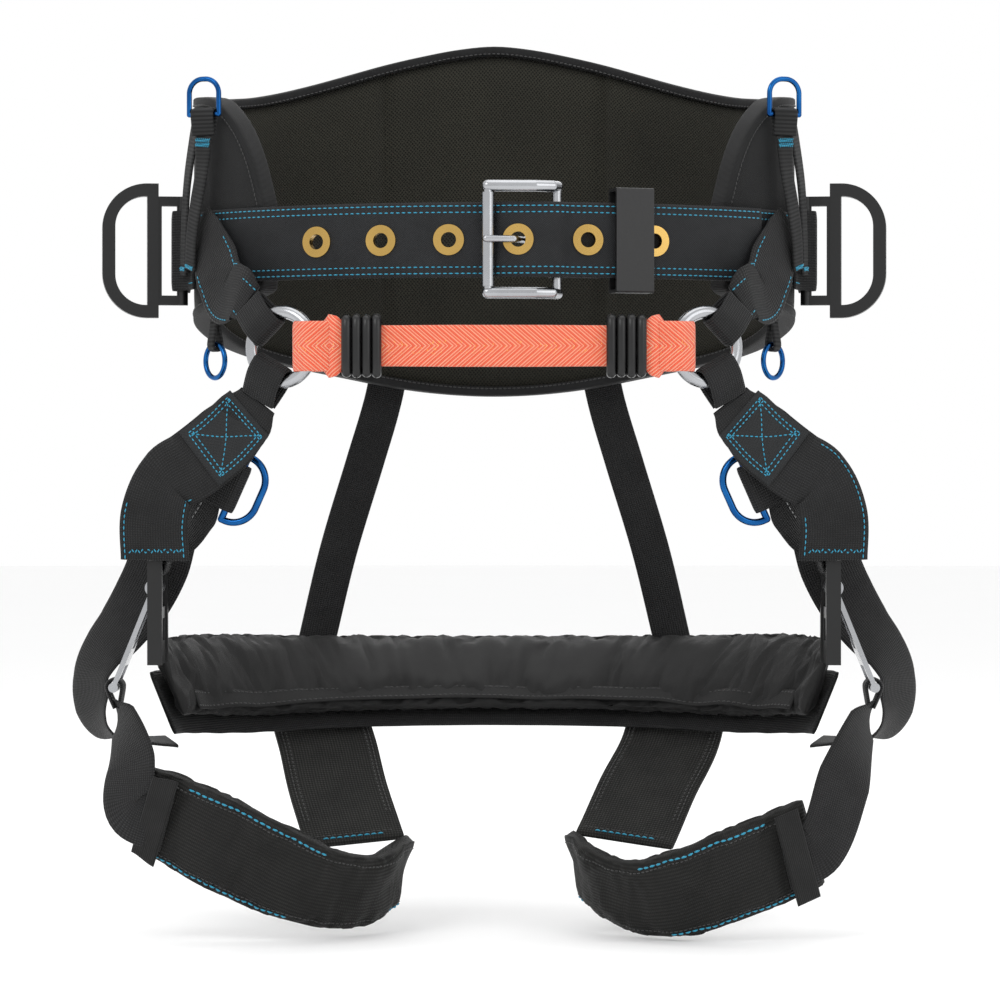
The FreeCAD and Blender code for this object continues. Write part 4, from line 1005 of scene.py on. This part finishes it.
def boxed(stations, half, first, last, lift):
    """Rows of a sewn box with a cross in it."""
    places = path_of(stations, 1.5)
    inside = [q for q in places if first <= q[4] <= last]

    def line(a, b):
        row = []
        for q in inside:
            t = (q[4] - first) / (last - first)
            row.append(((q[0] + q[2] * (a + (b - a) * t) + q[1] * lift) * MM, q[1]))
        return row

    def rung(q):
        return [((q[0] + q[2] * (half * (2 * k / 8 - 1)) + q[1] * lift) * MM, q[1]) for k in range(9)]

    rows = [line(-half, -half), line(half, half), line(-half, half), line(half, -half)]
    rows += [line(-half + 2.6, -half + 2.6), line(half - 2.6, half - 2.6)]
    rows += [rung(inside[0]), rung(inside[-1]), rung(inside[2]), rung(inside[-3])]
    return rows


for side, turn in SIDES:
    strap(side + "_leg_webbing", turn(LEG_WEB), side + "_leg_web", 2.5, wave=0.3)
    strap(side + "_leg_ring_loop", turn(LEG_LOOP_RING), step=1.2, thick=2.2)
    webbing(side + "_leg_web_cover", turn(COVER), 1.2, patch_weave, "harness", (), "webbing", 1.5)
    strap(side + "_leg_web_backing", turn(PATCH), side + "_leg_web_patch", 2.0, 2.2)
    sewn(side + "_leg_patch_stitches", boxed(turn(COVER), 16.5, 3.0, 38.0, 0.6), thread_teal, "harness",
         "webbing", pitch=3.0)
    rows = [web_row(turn(LEG_WEB), shift, 1.15, first, 140, 2.5)
            for shift, first in ((-18.5, 66), (18.5, 96))]
    rows += [bar_tack(turn(LEG_WEB), 122, 35, 1.2, 10)]
    sewn(side + "_leg_web_stitches", rows, thread_teal, "harness", "webbing")
    strap(side + "_thigh_webbing", turn(THIGH_WEB), side + "_thigh_web", 2.0)
    strap(side + "_thigh_ring_web", turn(THIGH_RING_LOOP), step=1.2, thick=2.2)
    strap(side + "_thigh_bar_web", turn(THIGH_BAR_LOOP), step=1.2, thick=2.2)
    row = [web_row(turn(THIGH_WEB), 0, 1.15, 30, 48, 2.0)]
    sewn(side + "_thigh_web_stitches", row, thread_grey, "harness", "webbing")


# ---------------------------------------------------------------- small rings
# Blue anodised accessory rings: one D at each hip's top, one thin ring below the
# belt, and one D on each thigh web.
def anodised():
    material, tree, shader = finish_named("blue_anodising", (0.02, 0.12, 0.38), 0.22, Metallic=1.0)
    broad = object_noise(tree, 70, 3)
    # The noise's lighter blue is partly painted highlight, standing in for the rings' light teal highlights,
    # and partly random tone of the anodising.
    two_tone(tree, shader, broad, (0.004, 0.022, 0.12), (0.02, 0.16, 0.45))
    raised(tree, shader, object_noise(tree, 500, 4), 0.05, 0.25)
    return material


refinish(anodised(), "left_top_ring", "right_top_ring", "left_gear_ring", "right_gear_ring",
         "left_thigh_ring", "right_thigh_ring")

# ---------------------------------------------------------------- ribbed hip straps
# Narrow ribbed straps down each hip: the front one hangs from the top ring's
# loop, the rear one from the pad's edge; both are bar-tacked in teal.
RIB_WIDTH = 13
FRONT_RIB = along_web(on_waist([(188, 10, 68), (190, 10.6, 45), (194, 11.8, 25), (199, 11.6, 5),
                                (203, 10.4, -14)], RIB_WIDTH))
FRONT_RIB[0] = (*FRONT_RIB[0][:3], 0.6, -0.8, 0.02, RIB_WIDTH)      # turned to face its ring
REAR_RIB = along_web(on_waist([(206, 3, 86), (211, 5, 66), (215, 7.4, 40), (218, 8.2, 10),
                               (220, 8.2, -16)], RIB_WIDTH))
TOP_LOOP = round_bar((178.38, -60.98, 81), (0, 0, -1), (0.35, -0.937, 0), 3.2, 15, 13, 1.9)
GEAR_STRAP = [(171.8, -55.8, -47, 0.78, -0.62, 0.02, 11), (171.6, -55.7, -36, 0.78, -0.62, 0.02, 13),
              (171.5, -55.5, -25, 0.78, -0.62, 0.02, 14)]
GEAR_LOOP = round_bar((171.79, -55.78, -60), (0, 0, 1), (0.785, -0.62, 0), 3.2, 7, 13, 1.9, 0.6)
rib_weave = tape("rib_weave", (0.0016, 0.0016, 0.0018), (0.030, 0.0305, 0.031), 0.42)
RIB_THICK = 2.0


for side, turn in SIDES:
    webbing(side + "_front_ribbed_strap", turn(FRONT_RIB), RIB_THICK, rib_weave, "harness",
            (side + "_tool_straps",), "ribbed_webbing", 2.0)
    webbing(side + "_rear_ribbed_strap", turn(REAR_RIB), RIB_THICK, rib_weave, "harness", (),
            "ribbed_webbing", 2.0)
    webbing(side + "_top_ring_loop", turn(TOP_LOOP), 1.9, rib_weave, "harness", (), "ribbed_webbing", 1.0)
    webbing(side + "_gear_strap_webbing", turn(GEAR_STRAP), 1.6, rib_weave, "harness",
            (side + "_gear_strap",), "ribbed_webbing", 2.0)
    webbing(side + "_gear_ring_loop", turn(GEAR_LOOP), 1.9, rib_weave, "harness", (), "ribbed_webbing", 1.0)
    tacks = [bar_tack(turn(FRONT_RIB), 3, 12, 1.1), bar_tack(turn(FRONT_RIB), 6, 12, 1.1),
             bar_tack(turn(REAR_RIB), 2.5, 11, 1.1), bar_tack(turn(FRONT_RIB), 82, 11, 1.1),
             bar_tack(turn(REAR_RIB), 100, 11, 1.1)]
    sewn(side + "_strap_tacks", tacks, thread_teal, "harness", "ribbed_webbing", pitch=1.9, share=0.9)

# ---------------------------------------------------------------- thigh buckles
# Black frames with two cross pins and a plated steel plate that hooks on the
# lower pin; the leg strap goes round the plate's far bar.
refinish(black_metal, "left_thigh_buckle_frame", "right_thigh_buckle_frame")
refinish(steel, "left_thigh_buckle_plate", "right_thigh_buckle_plate")

# ---------------------------------------------------------------- risers
# Two 25 mm straps from the belt's back down to the seat.
RISER_WIDTH = 25
RISER = along_web([
    (waist(HALF_RUN - 62, BELT_THICK + 0.2, -20)[0], waist(HALF_RUN - 62)[1], RISER_WIDTH),
    (waist(HALF_RUN - 68, 1.4, -62)[0], waist(HALF_RUN - 68)[1], RISER_WIDTH),
    (waist(HALF_RUN - 74, 1.4, -92)[0], waist(HALF_RUN - 74)[1], RISER_WIDTH),
    ((85, 116, -130), (0.15, 1, 0), RISER_WIDTH), ((103, 119.5, -190), (0.2, 1, 0.05), RISER_WIDTH),
    ((118, 128.6, -252), (0.3, 1, -0.1), RISER_WIDTH)], WEB_THICK / 2)
for side, turn in SIDES:
    strap(side + "_riser_webbing", turn(RISER), side + "_riser")

# ---------------------------------------------------------------- seat cushion
# A foam-filled nylon tube that sags from end to end, sewn shut along its lower
# edge; the loose cover wrinkles between its seams.
SEAT_HALF = 200.0           # half the width between the seat's ends
SEAT_DEPTH = 128.0          # from its ends back to its middle
SEAT_END_Y = -15.0
SEAT_Z = -266.0


def seat_places(share_of_width=1.0):
    """Half an ellipse in plan; the seat narrows and stands up more towards its ends."""
    places = []
    for i in range(21):
        angle = math.radians(9 * i - 90)
        end = math.sin(angle) ** 4
        tilt = math.radians(35 + 33 * end)
        out = Vector((math.sin(angle) / SEAT_HALF, math.cos(angle) / SEAT_DEPTH, 0)).normalized()
        point = Vector((SEAT_HALF * math.sin(angle), SEAT_END_Y + SEAT_DEPTH * math.cos(angle), SEAT_Z))
        face = out * math.sin(tilt) - Vector((0, 0, math.cos(tilt)))
        places.append((point, face, (74 - 24 * end) * share_of_width))
    return places


SEAT = [
    (-203.4, -14.6, -267.4, -0.92, 0.11, -0.38, 50), (-200.9, 5.8, -267.5, -0.89, 0.22, -0.4, 51.2),
    (-193.1, 26.1, -267.7, -0.79, 0.4, -0.47, 54.4), (-180.7, 45.1, -268.1, -0.65, 0.52, -0.56, 58.9),
    (-163.7, 62.3, -268.5, -0.5, 0.57, -0.65, 63.7), (-142.8, 77.7, -268.8, -0.37, 0.58, -0.73, 68),
    (-118.5, 90.7, -269.0, -0.26, 0.57, -0.78, 71.1), (-91.5, 101.1, -269.1, -0.18, 0.56, -0.8, 73),
    (-62.2, 108.8, -269.1, -0.12, 0.57, -0.82, 73.8), (-31.5, 113.5, -269.1, -0.06, 0.57, -0.82, 74),
    (0, 115.1, -269.1, 0, 0.57, -0.82, 74)]
SEAT = SEAT + other_side(SEAT[:-1])[::-1]
SEAT_DEEP = 13.4


def cushion(name, stations, deep, seams=(), step=4.0, columns=20, round_end=14.0, power=2.6, wrinkle=0.8,
            pinch=0.55, seed=0.0):
    """A stuffed tube along stations: crowned, pinched at seams (distances), wrinkled across."""
    places = path_of(stations, step)
    total = places[-1][4]
    points, uvs, held = [], [], []
    ring = 2 * columns
    for p, face, across, width, distance in places:
        end = min(distance, total - distance)
        swell = math.sqrt(max(0.06, 1 - (1 - min(end / round_end, 1.0)) ** 2))
        near = min([abs(distance - s) for s in seams] + [99.0])
        if near < 8:
            swell *= 1 - pinch * (1 - near / 8) ** 2
        for j in range(ring):
            t = 2 * math.pi * j / ring
            c, s = math.cos(t), math.sin(t)
            a = math.copysign(abs(c) ** (2 / 4.0), c)
            b = math.copysign(abs(s) ** (2 / power), s)
            fold = noise.noise(Vector((distance * 0.055, a * 0.9 + seed, b + seed)))
            fine = noise.noise(Vector((distance * 0.16 + seed, a * 2.2, b * 2)))
            depth = deep / 2 * swell * (0.94 + 0.06 * fold)
            lift = b * depth + (fold * wrinkle + fine * wrinkle * 0.35) * (1 - abs(a) ** 3) * swell * abs(b)
            points.append((p + across * (a * width / 2 * (0.97 + 0.03 * swell)) + face * lift) * MM)
            uvs.append((a * width / 2 + (300 if s < 0 else 0), distance))
            if abs(c) > 0.985 or near < 1.6 or end < 2.0:
                held.append(len(points) - 1)
    piece = made_of(name, points, skin(len(places), 2 * columns), uvs)
    outward(piece)
    return piece, held


def stuffed(piece, held, cap, pressure=3.0, grow=0.05, frames=16):
    """Blow a cushion up as cloth held at its seams; no point moves farther than cap mm."""
    start = [v.co.copy() for v in piece.data.vertices]
    group = piece.vertex_groups.new(name="seams")
    group.add(held, 1.0, "REPLACE")
    cloth = piece.modifiers.new("cloth", "CLOTH")
    cloth.settings.quality = 6
    cloth.settings.mass = 0.15
    cloth.settings.tension_stiffness = 18
    cloth.settings.compression_stiffness = 14
    cloth.settings.bending_stiffness = 0.02
    cloth.settings.use_pressure = True
    cloth.settings.uniform_pressure_force = pressure
    cloth.settings.shrink_min = -grow
    cloth.settings.vertex_group_mass = "seams"
    cloth.settings.effector_weights.gravity = 0.0
    cloth.point_cache.frame_end = frames + 2
    scene = bpy.context.scene
    for current in range(1, frames + 1):
        scene.frame_set(current)
    ready = piece.evaluated_get(bpy.context.evaluated_depsgraph_get())
    moved = [v.co.copy() for v in ready.data.vertices]
    piece.modifiers.remove(cloth)
    for vertex, old, new in zip(piece.data.vertices, start, moved):
        step = new - old
        if step.length > cap * MM:
            step *= cap * MM / step.length
        vertex.co = old + step
    scene.frame_set(1)


def wrinkled_nylon(name, dark, light, threads=1.5, rough=0.62):
    """Coated pack-cloth with a fine weave and soft creases."""
    material, tree, shader = finish_named(name, light, rough, Sheen_Weight=0.06, Sheen_Roughness=0.4,
                                          Specular_IOR_Level=0.28)
    place = cloth_place(tree, threads, threads)
    weave = sums(tree, "MULTIPLY", waves(tree, place, "X"), waves(tree, place, "Y"))
    cloud = object_noise(tree, 26, 6, 0.62)
    two_tone(tree, shader, sums(tree, "MULTIPLY", cloud, sums(tree, "ADD", weave, 0.6)), dark, light)
    creases = put(tree, "ShaderNodeTexNoise", {"noise_type": "RIDGED_MULTIFRACTAL"}, Scale=38.0, Detail=4.0,
                  Vector=put(tree, "ShaderNodeTexCoord").outputs["Object"]).outputs["Fac"]
    soft = raised(tree, shader, creases, 0.9, 0.35)
    raised(tree, shader, weave, 0.2, 0.8, soft)
    return material


seat_nylon = wrinkled_nylon("seat_nylon", (0.0026, 0.0026, 0.0027), (0.019, 0.019, 0.019))
seat_length = path_of(SEAT, 4.0)[-1][4]
seat, seat_held = cushion("seat_cushion", SEAT, SEAT_DEEP, (26.0, seat_length - 26.0), 3.2, 26, wrinkle=1.2)
stuffed(seat, seat_held, 3.0, 3.0, 0.06)
dressed(seat, seat_nylon, "harness", "seat_fabric", "seat_cover", "seat_foam")

HEM = []
for x, y, z, nx, ny, nz, width in SEAT[1:-1]:
    n = Vector((nx, ny, nz))
    way = Vector((ny, -nx, 0)).normalized()
    across = way.cross(n).normalized()
    p = Vector((x, y, z)) - across * (width / 2 - 7.5)
    HEM.append((p.x, p.y, p.z, -nx, -ny, -nz, 13))


def hemmed():
    """A flat hem laid along the cushion's lower front edge, on its upper face."""
    laid = []
    for station in HEM:
        row = onto(seat, [(Vector(station[:3]) * MM, Vector(station[3:6]).normalized())])
        if row:
            p = row[0][0] / MM
            laid.append((p.x, p.y, p.z, *station[3:]))
    return laid


hem = hemmed()
webbing("seat_hem", hem, 1.6, seat_nylon, "harness", (), "seat_fabric", 4.0)
sewn("seat_hem_stitches", [web_row(hem, -4.5, 0.8), web_row(hem, 4.5, 0.8)], thread_black, "harness",
     "seat_fabric")

# ---------------------------------------------------------------- seat strap and its tails
# The wide strap under the cushion carries the load to the thigh buckles; its
# tails turn up outside the buckles in open loops.
SEAT_STRAP = along_web(seat_places(62 / 74), 13.6, -13)
TAIL = along_web(stepped(Vector((214.7, -16, -294.5)), [
    ((-12, 6, -13), (0.1, 0.1, -1), 36), ((5, 0, -12), (0.1, 0, -1), 40), ((20, -3, -10), (0.15, 0, -1), 40),
    ((31, -3, -4), (0.5, -0.4, -0.75), 40), ((37, 0, 10), (0.78, -0.6, -0.1), 40),
    ((38, 3, 28), (0.78, -0.6, 0.1), 40), ((31, 4, 44), (0.6, -0.7, 0.4), 40),
    ((19, 2, 58), (0.4, -0.85, 0.35), 40), ((5, -2, 78), (0.25, -0.95, 0.15), 40),
    ((-5, -7, 98), (0.15, -0.98, 0.1), 40), ((-9, -8, 114), (0.1, -0.99, 0.05), 40)]))
strap("seat_strap_webbing", SEAT_STRAP, "seat_strap", columns=13)
seat_rows = [web_row(SEAT_STRAP, 27.0, 1.15, first, last)
             for first, last in ((14, 34), (seat_length - 40, seat_length - 10))]
sewn("seat_stitches", [row for row in seat_rows if row], thread_teal, "harness", "webbing")
for side, turn in SIDES:
    strap(side + "_seat_tail_webbing", turn(TAIL), side + "_seat_tail", 2.5)

# ---------------------------------------------------------------- leg loops
# Each thigh loop: a curved padded sleeve in front, a strap from the buckle plate
# sewn to its outer end under an elastic band, and a broad ribbed sleeve that
# joins its inner end to the seat.
LEG_PAD_THICK = 13.0
PLATE_BAR = Vector((233.724, -52, -271.194))    # the right buckle plate's far bar
PAD_COURSE = {
    "left": [((-216, -62, -340), (-0.35, -0.9, -0.2), 50), ((-196, -69, -349), (-0.2, -0.95, -0.25), 56),
             ((-168, -73, -363), (-0.05, -0.95, -0.3), 60), ((-138, -71, -378), (0.08, -0.93, -0.35), 58),
             ((-108, -60, -391), (0.3, -0.85, -0.4), 52), ((-84, -42, -395), (0.6, -0.7, -0.4), 48),
             ((-69, -20, -389), (0.85, -0.4, -0.3), 42), ((-74, 5, -375), (0.3, 0.5, -0.82), 42)],
    "right": [((193, -62, -364), (0.35, -0.9, -0.2), 58), ((174, -69, -372), (0.2, -0.95, -0.25), 58),
              ((148, -73, -382), (0.05, -0.95, -0.3), 58), ((120, -69, -393), (-0.15, -0.92, -0.35), 56),
              ((94, -56, -398), (-0.4, -0.82, -0.4), 50), ((74, -38, -393), (-0.65, -0.65, -0.4), 46),
              ((62, -18, -385), (-0.85, -0.4, -0.3), 42), ((68, 6, -374), (-0.3, 0.5, -0.82), 42)]}
# the strap's places below the plate's bar, as steps from it on the right-hand side
STRAP_COURSE = {"left": [((-5, -5, -22), (0.88, -0.5, -0.1)), ((-11, -18, -46), (0.6, -0.8, 0))],
                "right": [((-7, -5, -24), (0.88, -0.5, -0.1)), ((-19, -18, -56), (0.55, -0.83, 0))]}
SLEEVE_COURSE = {
    "left": [(-115, 99, -284), (-113, 84, -297), (-107, 62, -314), (-100, 34, -337), (-91, 6, -360),
             (-87, -6, -370)],
    "right": [(119, 99, -284), (118, 84, -297), (112, 62, -314), (98, 34, -337), (86, 6, -360),
              (81, -6, -369)]}
LEG_PADS, LEG_STRAPS, LEG_SLEEVES, ELASTICS = {}, {}, {}, {}
for side, sign in (("left", -1), ("right", 1)):
    course = PAD_COURSE[side]
    (p0, n0, w0), (p1, n1, w1) = [(Vector(p), Vector(n), w) for p, n, w in course[:2]]
    LEG_PADS[side] = along_web(course, LEG_PAD_THICK / 2)
    on_pad = LEG_PAD_THICK + 2.0 + WEB_THICK / 2
    bar = Vector((PLATE_BAR.x * sign, PLATE_BAR.y, PLATE_BAR.z))
    down = Vector((-0.12 * sign, 0, -1)).normalized()
    strap = [(bar + down * 13, (sign, 0, -0.12), 24)]
    strap += [(bar + Vector((x * sign, y, z)), (nx * sign, ny, nz), 41)
              for (x, y, z), (nx, ny, nz) in STRAP_COURSE[side]]
    strap += [(p0 + n0.normalized() * (on_pad + 1.2), n0, 38), (p1 + n1.normalized() * on_pad, n1, 38)]
    LEG_STRAPS[side] = along_web(strap)
    LEG_SLEEVES[side] = along_web([(p, (0.1 * sign, 0.62, -0.77), 64) for p in SLEEVE_COURSE[side]], 2.5)
    over = on_pad + WEB_THICK / 2 + GAP
    elastic = [(p0 * 0.6 + p1 * 0.4 + n0.normalized() * over, n0, w0 + 2),
               (p1 + n1.normalized() * over, n1, w1 + 2)]
    ELASTICS[side] = along_web(elastic, 0.75)
LEG_PAD_DEEP = 12.6
leg_nylon = woven("leg_nylon", (0.0020, 0.0020, 0.0018), (0.019, 0.019, 0.0175), 0.9, 0.45, 0.0, 0.2, 0.66)
sleeve_weave = woven("sleeve_weave", (0.002, 0.002, 0.002), (0.032, 0.032, 0.029), 0.55, 0.55, 0.0, 0.45, 0.7)
elastic_weave = tape("elastic_weave", (0.003, 0.003, 0.003), (0.022, 0.022, 0.022), 0.8)
for side, sign in (("left", -1), ("right", 1)):
    body = side + "_leg_loop"
    pad_line = LEG_PADS[side]
    length = path_of(pad_line, 3.0)[-1][4]
    pad, held = cushion(side + "_leg_cushion", pad_line, LEG_PAD_DEEP,
                        (length * 0.34, length * 0.62, length * 0.82), 2.8, 22, 7.0, 4.6, 0.6, 0.22,
                        seed=3.0 + sign)
    stuffed(pad, held, 1.2, 1.0, 0.03)
    dressed(pad, leg_nylon, body, "leg_fabric", side + "_leg_pad")
    fronts = path_of(pad_line, 3.0)

    def pad_row(share, first, last):
        """A row on the pad's outer face at a share of its half width, between shares of its length."""
        row = []
        for p, face, across, width, distance in fronts:
            if first * length <= distance <= last * length:
                row.append(((p + across * (share * width / 2)) * MM, face))
        return onto(pad, row)

    rows = [pad_row(0.88 * sign, 0.13, 0.55), pad_row(-0.88 * sign, 0.10, 0.52),
            pad_row(-0.88 * sign, 0.80, 0.88)]
    sewn(side + "_leg_pad_stitches", rows, thread_teal, body, "leg_fabric", pitch=4.4, size=0.95, share=0.82)
    seams = [pad_row(0.8, 0.05, 0.97), pad_row(-0.8, 0.05, 0.97)]
    sewn(side + "_leg_pad_seams", seams, thread_black, body, "leg_fabric", pitch=3.0)
    sleeve, held = cushion(side + "_leg_sleeve_pad", LEG_SLEEVES[side], 4.8, (), 2.5, 22, 3.0, 6.0, 0.4, 0.0,
                           seed=8.0 + sign)
    dressed(sleeve, sleeve_weave, body, "sleeve_webbing", side + "_leg_sleeve")
    flat = [q for q in path_of(LEG_SLEEVES[side], 2.5)]
    borders = []
    for shift in (-28, -25.5, 25.5, 28):
        borders.append(onto(sleeve, [((p + across * shift) * MM, -face)
                                     for p, face, across, width, distance in flat if 5 < distance < 120]))
    for at in (flat[3], flat[-4]):
        borders.append(onto(sleeve, [((at[0] + at[2] * (k * 2.8 - 28)) * MM, -at[1]) for k in range(21)]))
    sewn(side + "_leg_sleeve_stitches", [row for row in borders if len(row) > 1], thread_black, body,
         "sleeve_webbing")
    end = flat[-3]
    bar = onto(sleeve, [((end[0] + end[2] * (k * 2.0 - 20)) * MM, -end[1]) for k in range(21)])
    if len(bar) > 1:
        sewn(side + "_leg_sleeve_bar", [bar], thread_teal, body, "sleeve_webbing", pitch=4.4, size=0.95,
             share=0.82)
    webbing(side + "_leg_strap_webbing", LEG_STRAPS[side], WEB_THICK, web_weave, body, (side + "_leg_strap",),
            "webbing", 2.5)
    bar_loop = round_bar((PLATE_BAR.x * sign, PLATE_BAR.y, PLATE_BAR.z), (-0.119 * sign, 0, -0.993),
                         (0.993 * sign, 0, -0.119), 6, 20.5, 13, 2.2)
    webbing(side + "_leg_strap_loop", bar_loop, 2.2, web_weave, side + "_buckle_plate", (), "webbing", 1.2)
    webbing(side + "_leg_elastic_band", ELASTICS[side], 1.5, elastic_weave, body, (side + "_leg_elastic",),
            "elastic", 2.0)

# ---------------------------------------------------------------- floor, lights and camera
# A pale floor under the lowest point, broad soft lights on a white room, and the
# camera level with the seat.
low = cad_box[0][2]
bpy.ops.mesh.primitive_circle_add(vertices=96, radius=14, fill_type="NGON", location=(0, 0, low - 0.0006))
floor = bpy.context.object
floor.name = "studio_floor"
pale, tree, shader = finish_named("pale_floor", (0.955, 0.955, 0.955), 0.85)
two_tone(tree, shader, object_noise(tree, 3, 2), (0.95, 0.95, 0.95), (0.962, 0.962, 0.962))
floor.data.materials.append(pale)
floor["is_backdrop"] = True


def soft_light(name, place, target, size, power):
    lamp = bpy.data.lights.new(name, "AREA")
    lamp.shape = "RECTANGLE"
    lamp.size, lamp.size_y = size
    lamp.energy = power
    holder = bpy.data.objects.new(name, lamp)
    holder.location = place
    holder.rotation_euler = (Vector(target) - Vector(place)).to_track_quat("-Z", "Y").to_euler()
    bpy.context.scene.collection.objects.link(holder)


soft_light("key", (-1.3, -1.9, 1.5), (0, 0, -0.1), (1.6, 1.2), 17)
soft_light("fill", (1.7, -1.6, 0.8), (0, 0, -0.1), (1.4, 1.6), 9)
soft_light("top", (0.1, 0.1, 2.2), (0, 0, -0.1), (2.0, 2.0), 13)
soft_light("rear", (0.3, 2.2, 1.0), (0, 0, -0.1), (2.0, 1.2), 8)
world = bpy.data.worlds.new("white_room")
bpy.context.scene.world = world
world.use_nodes = True
world.node_tree.nodes["Background"].inputs[0].default_value = (1, 1, 1, 1)
world.node_tree.nodes["Background"].inputs[1].default_value = 1.0
bpy.context.scene.view_settings.view_transform = "Standard"
lens = bpy.data.cameras.new("camera")
lens.lens = 144
lens.sensor_width = 36
lens.clip_end = 60
camera = bpy.data.objects.new("camera", lens)
camera.location = (0.0036, -2.52, -0.156)
camera.rotation_euler = (math.pi / 2, 0, 0)
bpy.context.scene.collection.objects.link(camera)
bpy.context.scene.camera = camera


def plain(box):
    return [list(map(float, corner)) if hasattr(corner, "__len__") else float(corner) for corner in box]


{"cad": plain(cad_box), "visual": plain(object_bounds())}
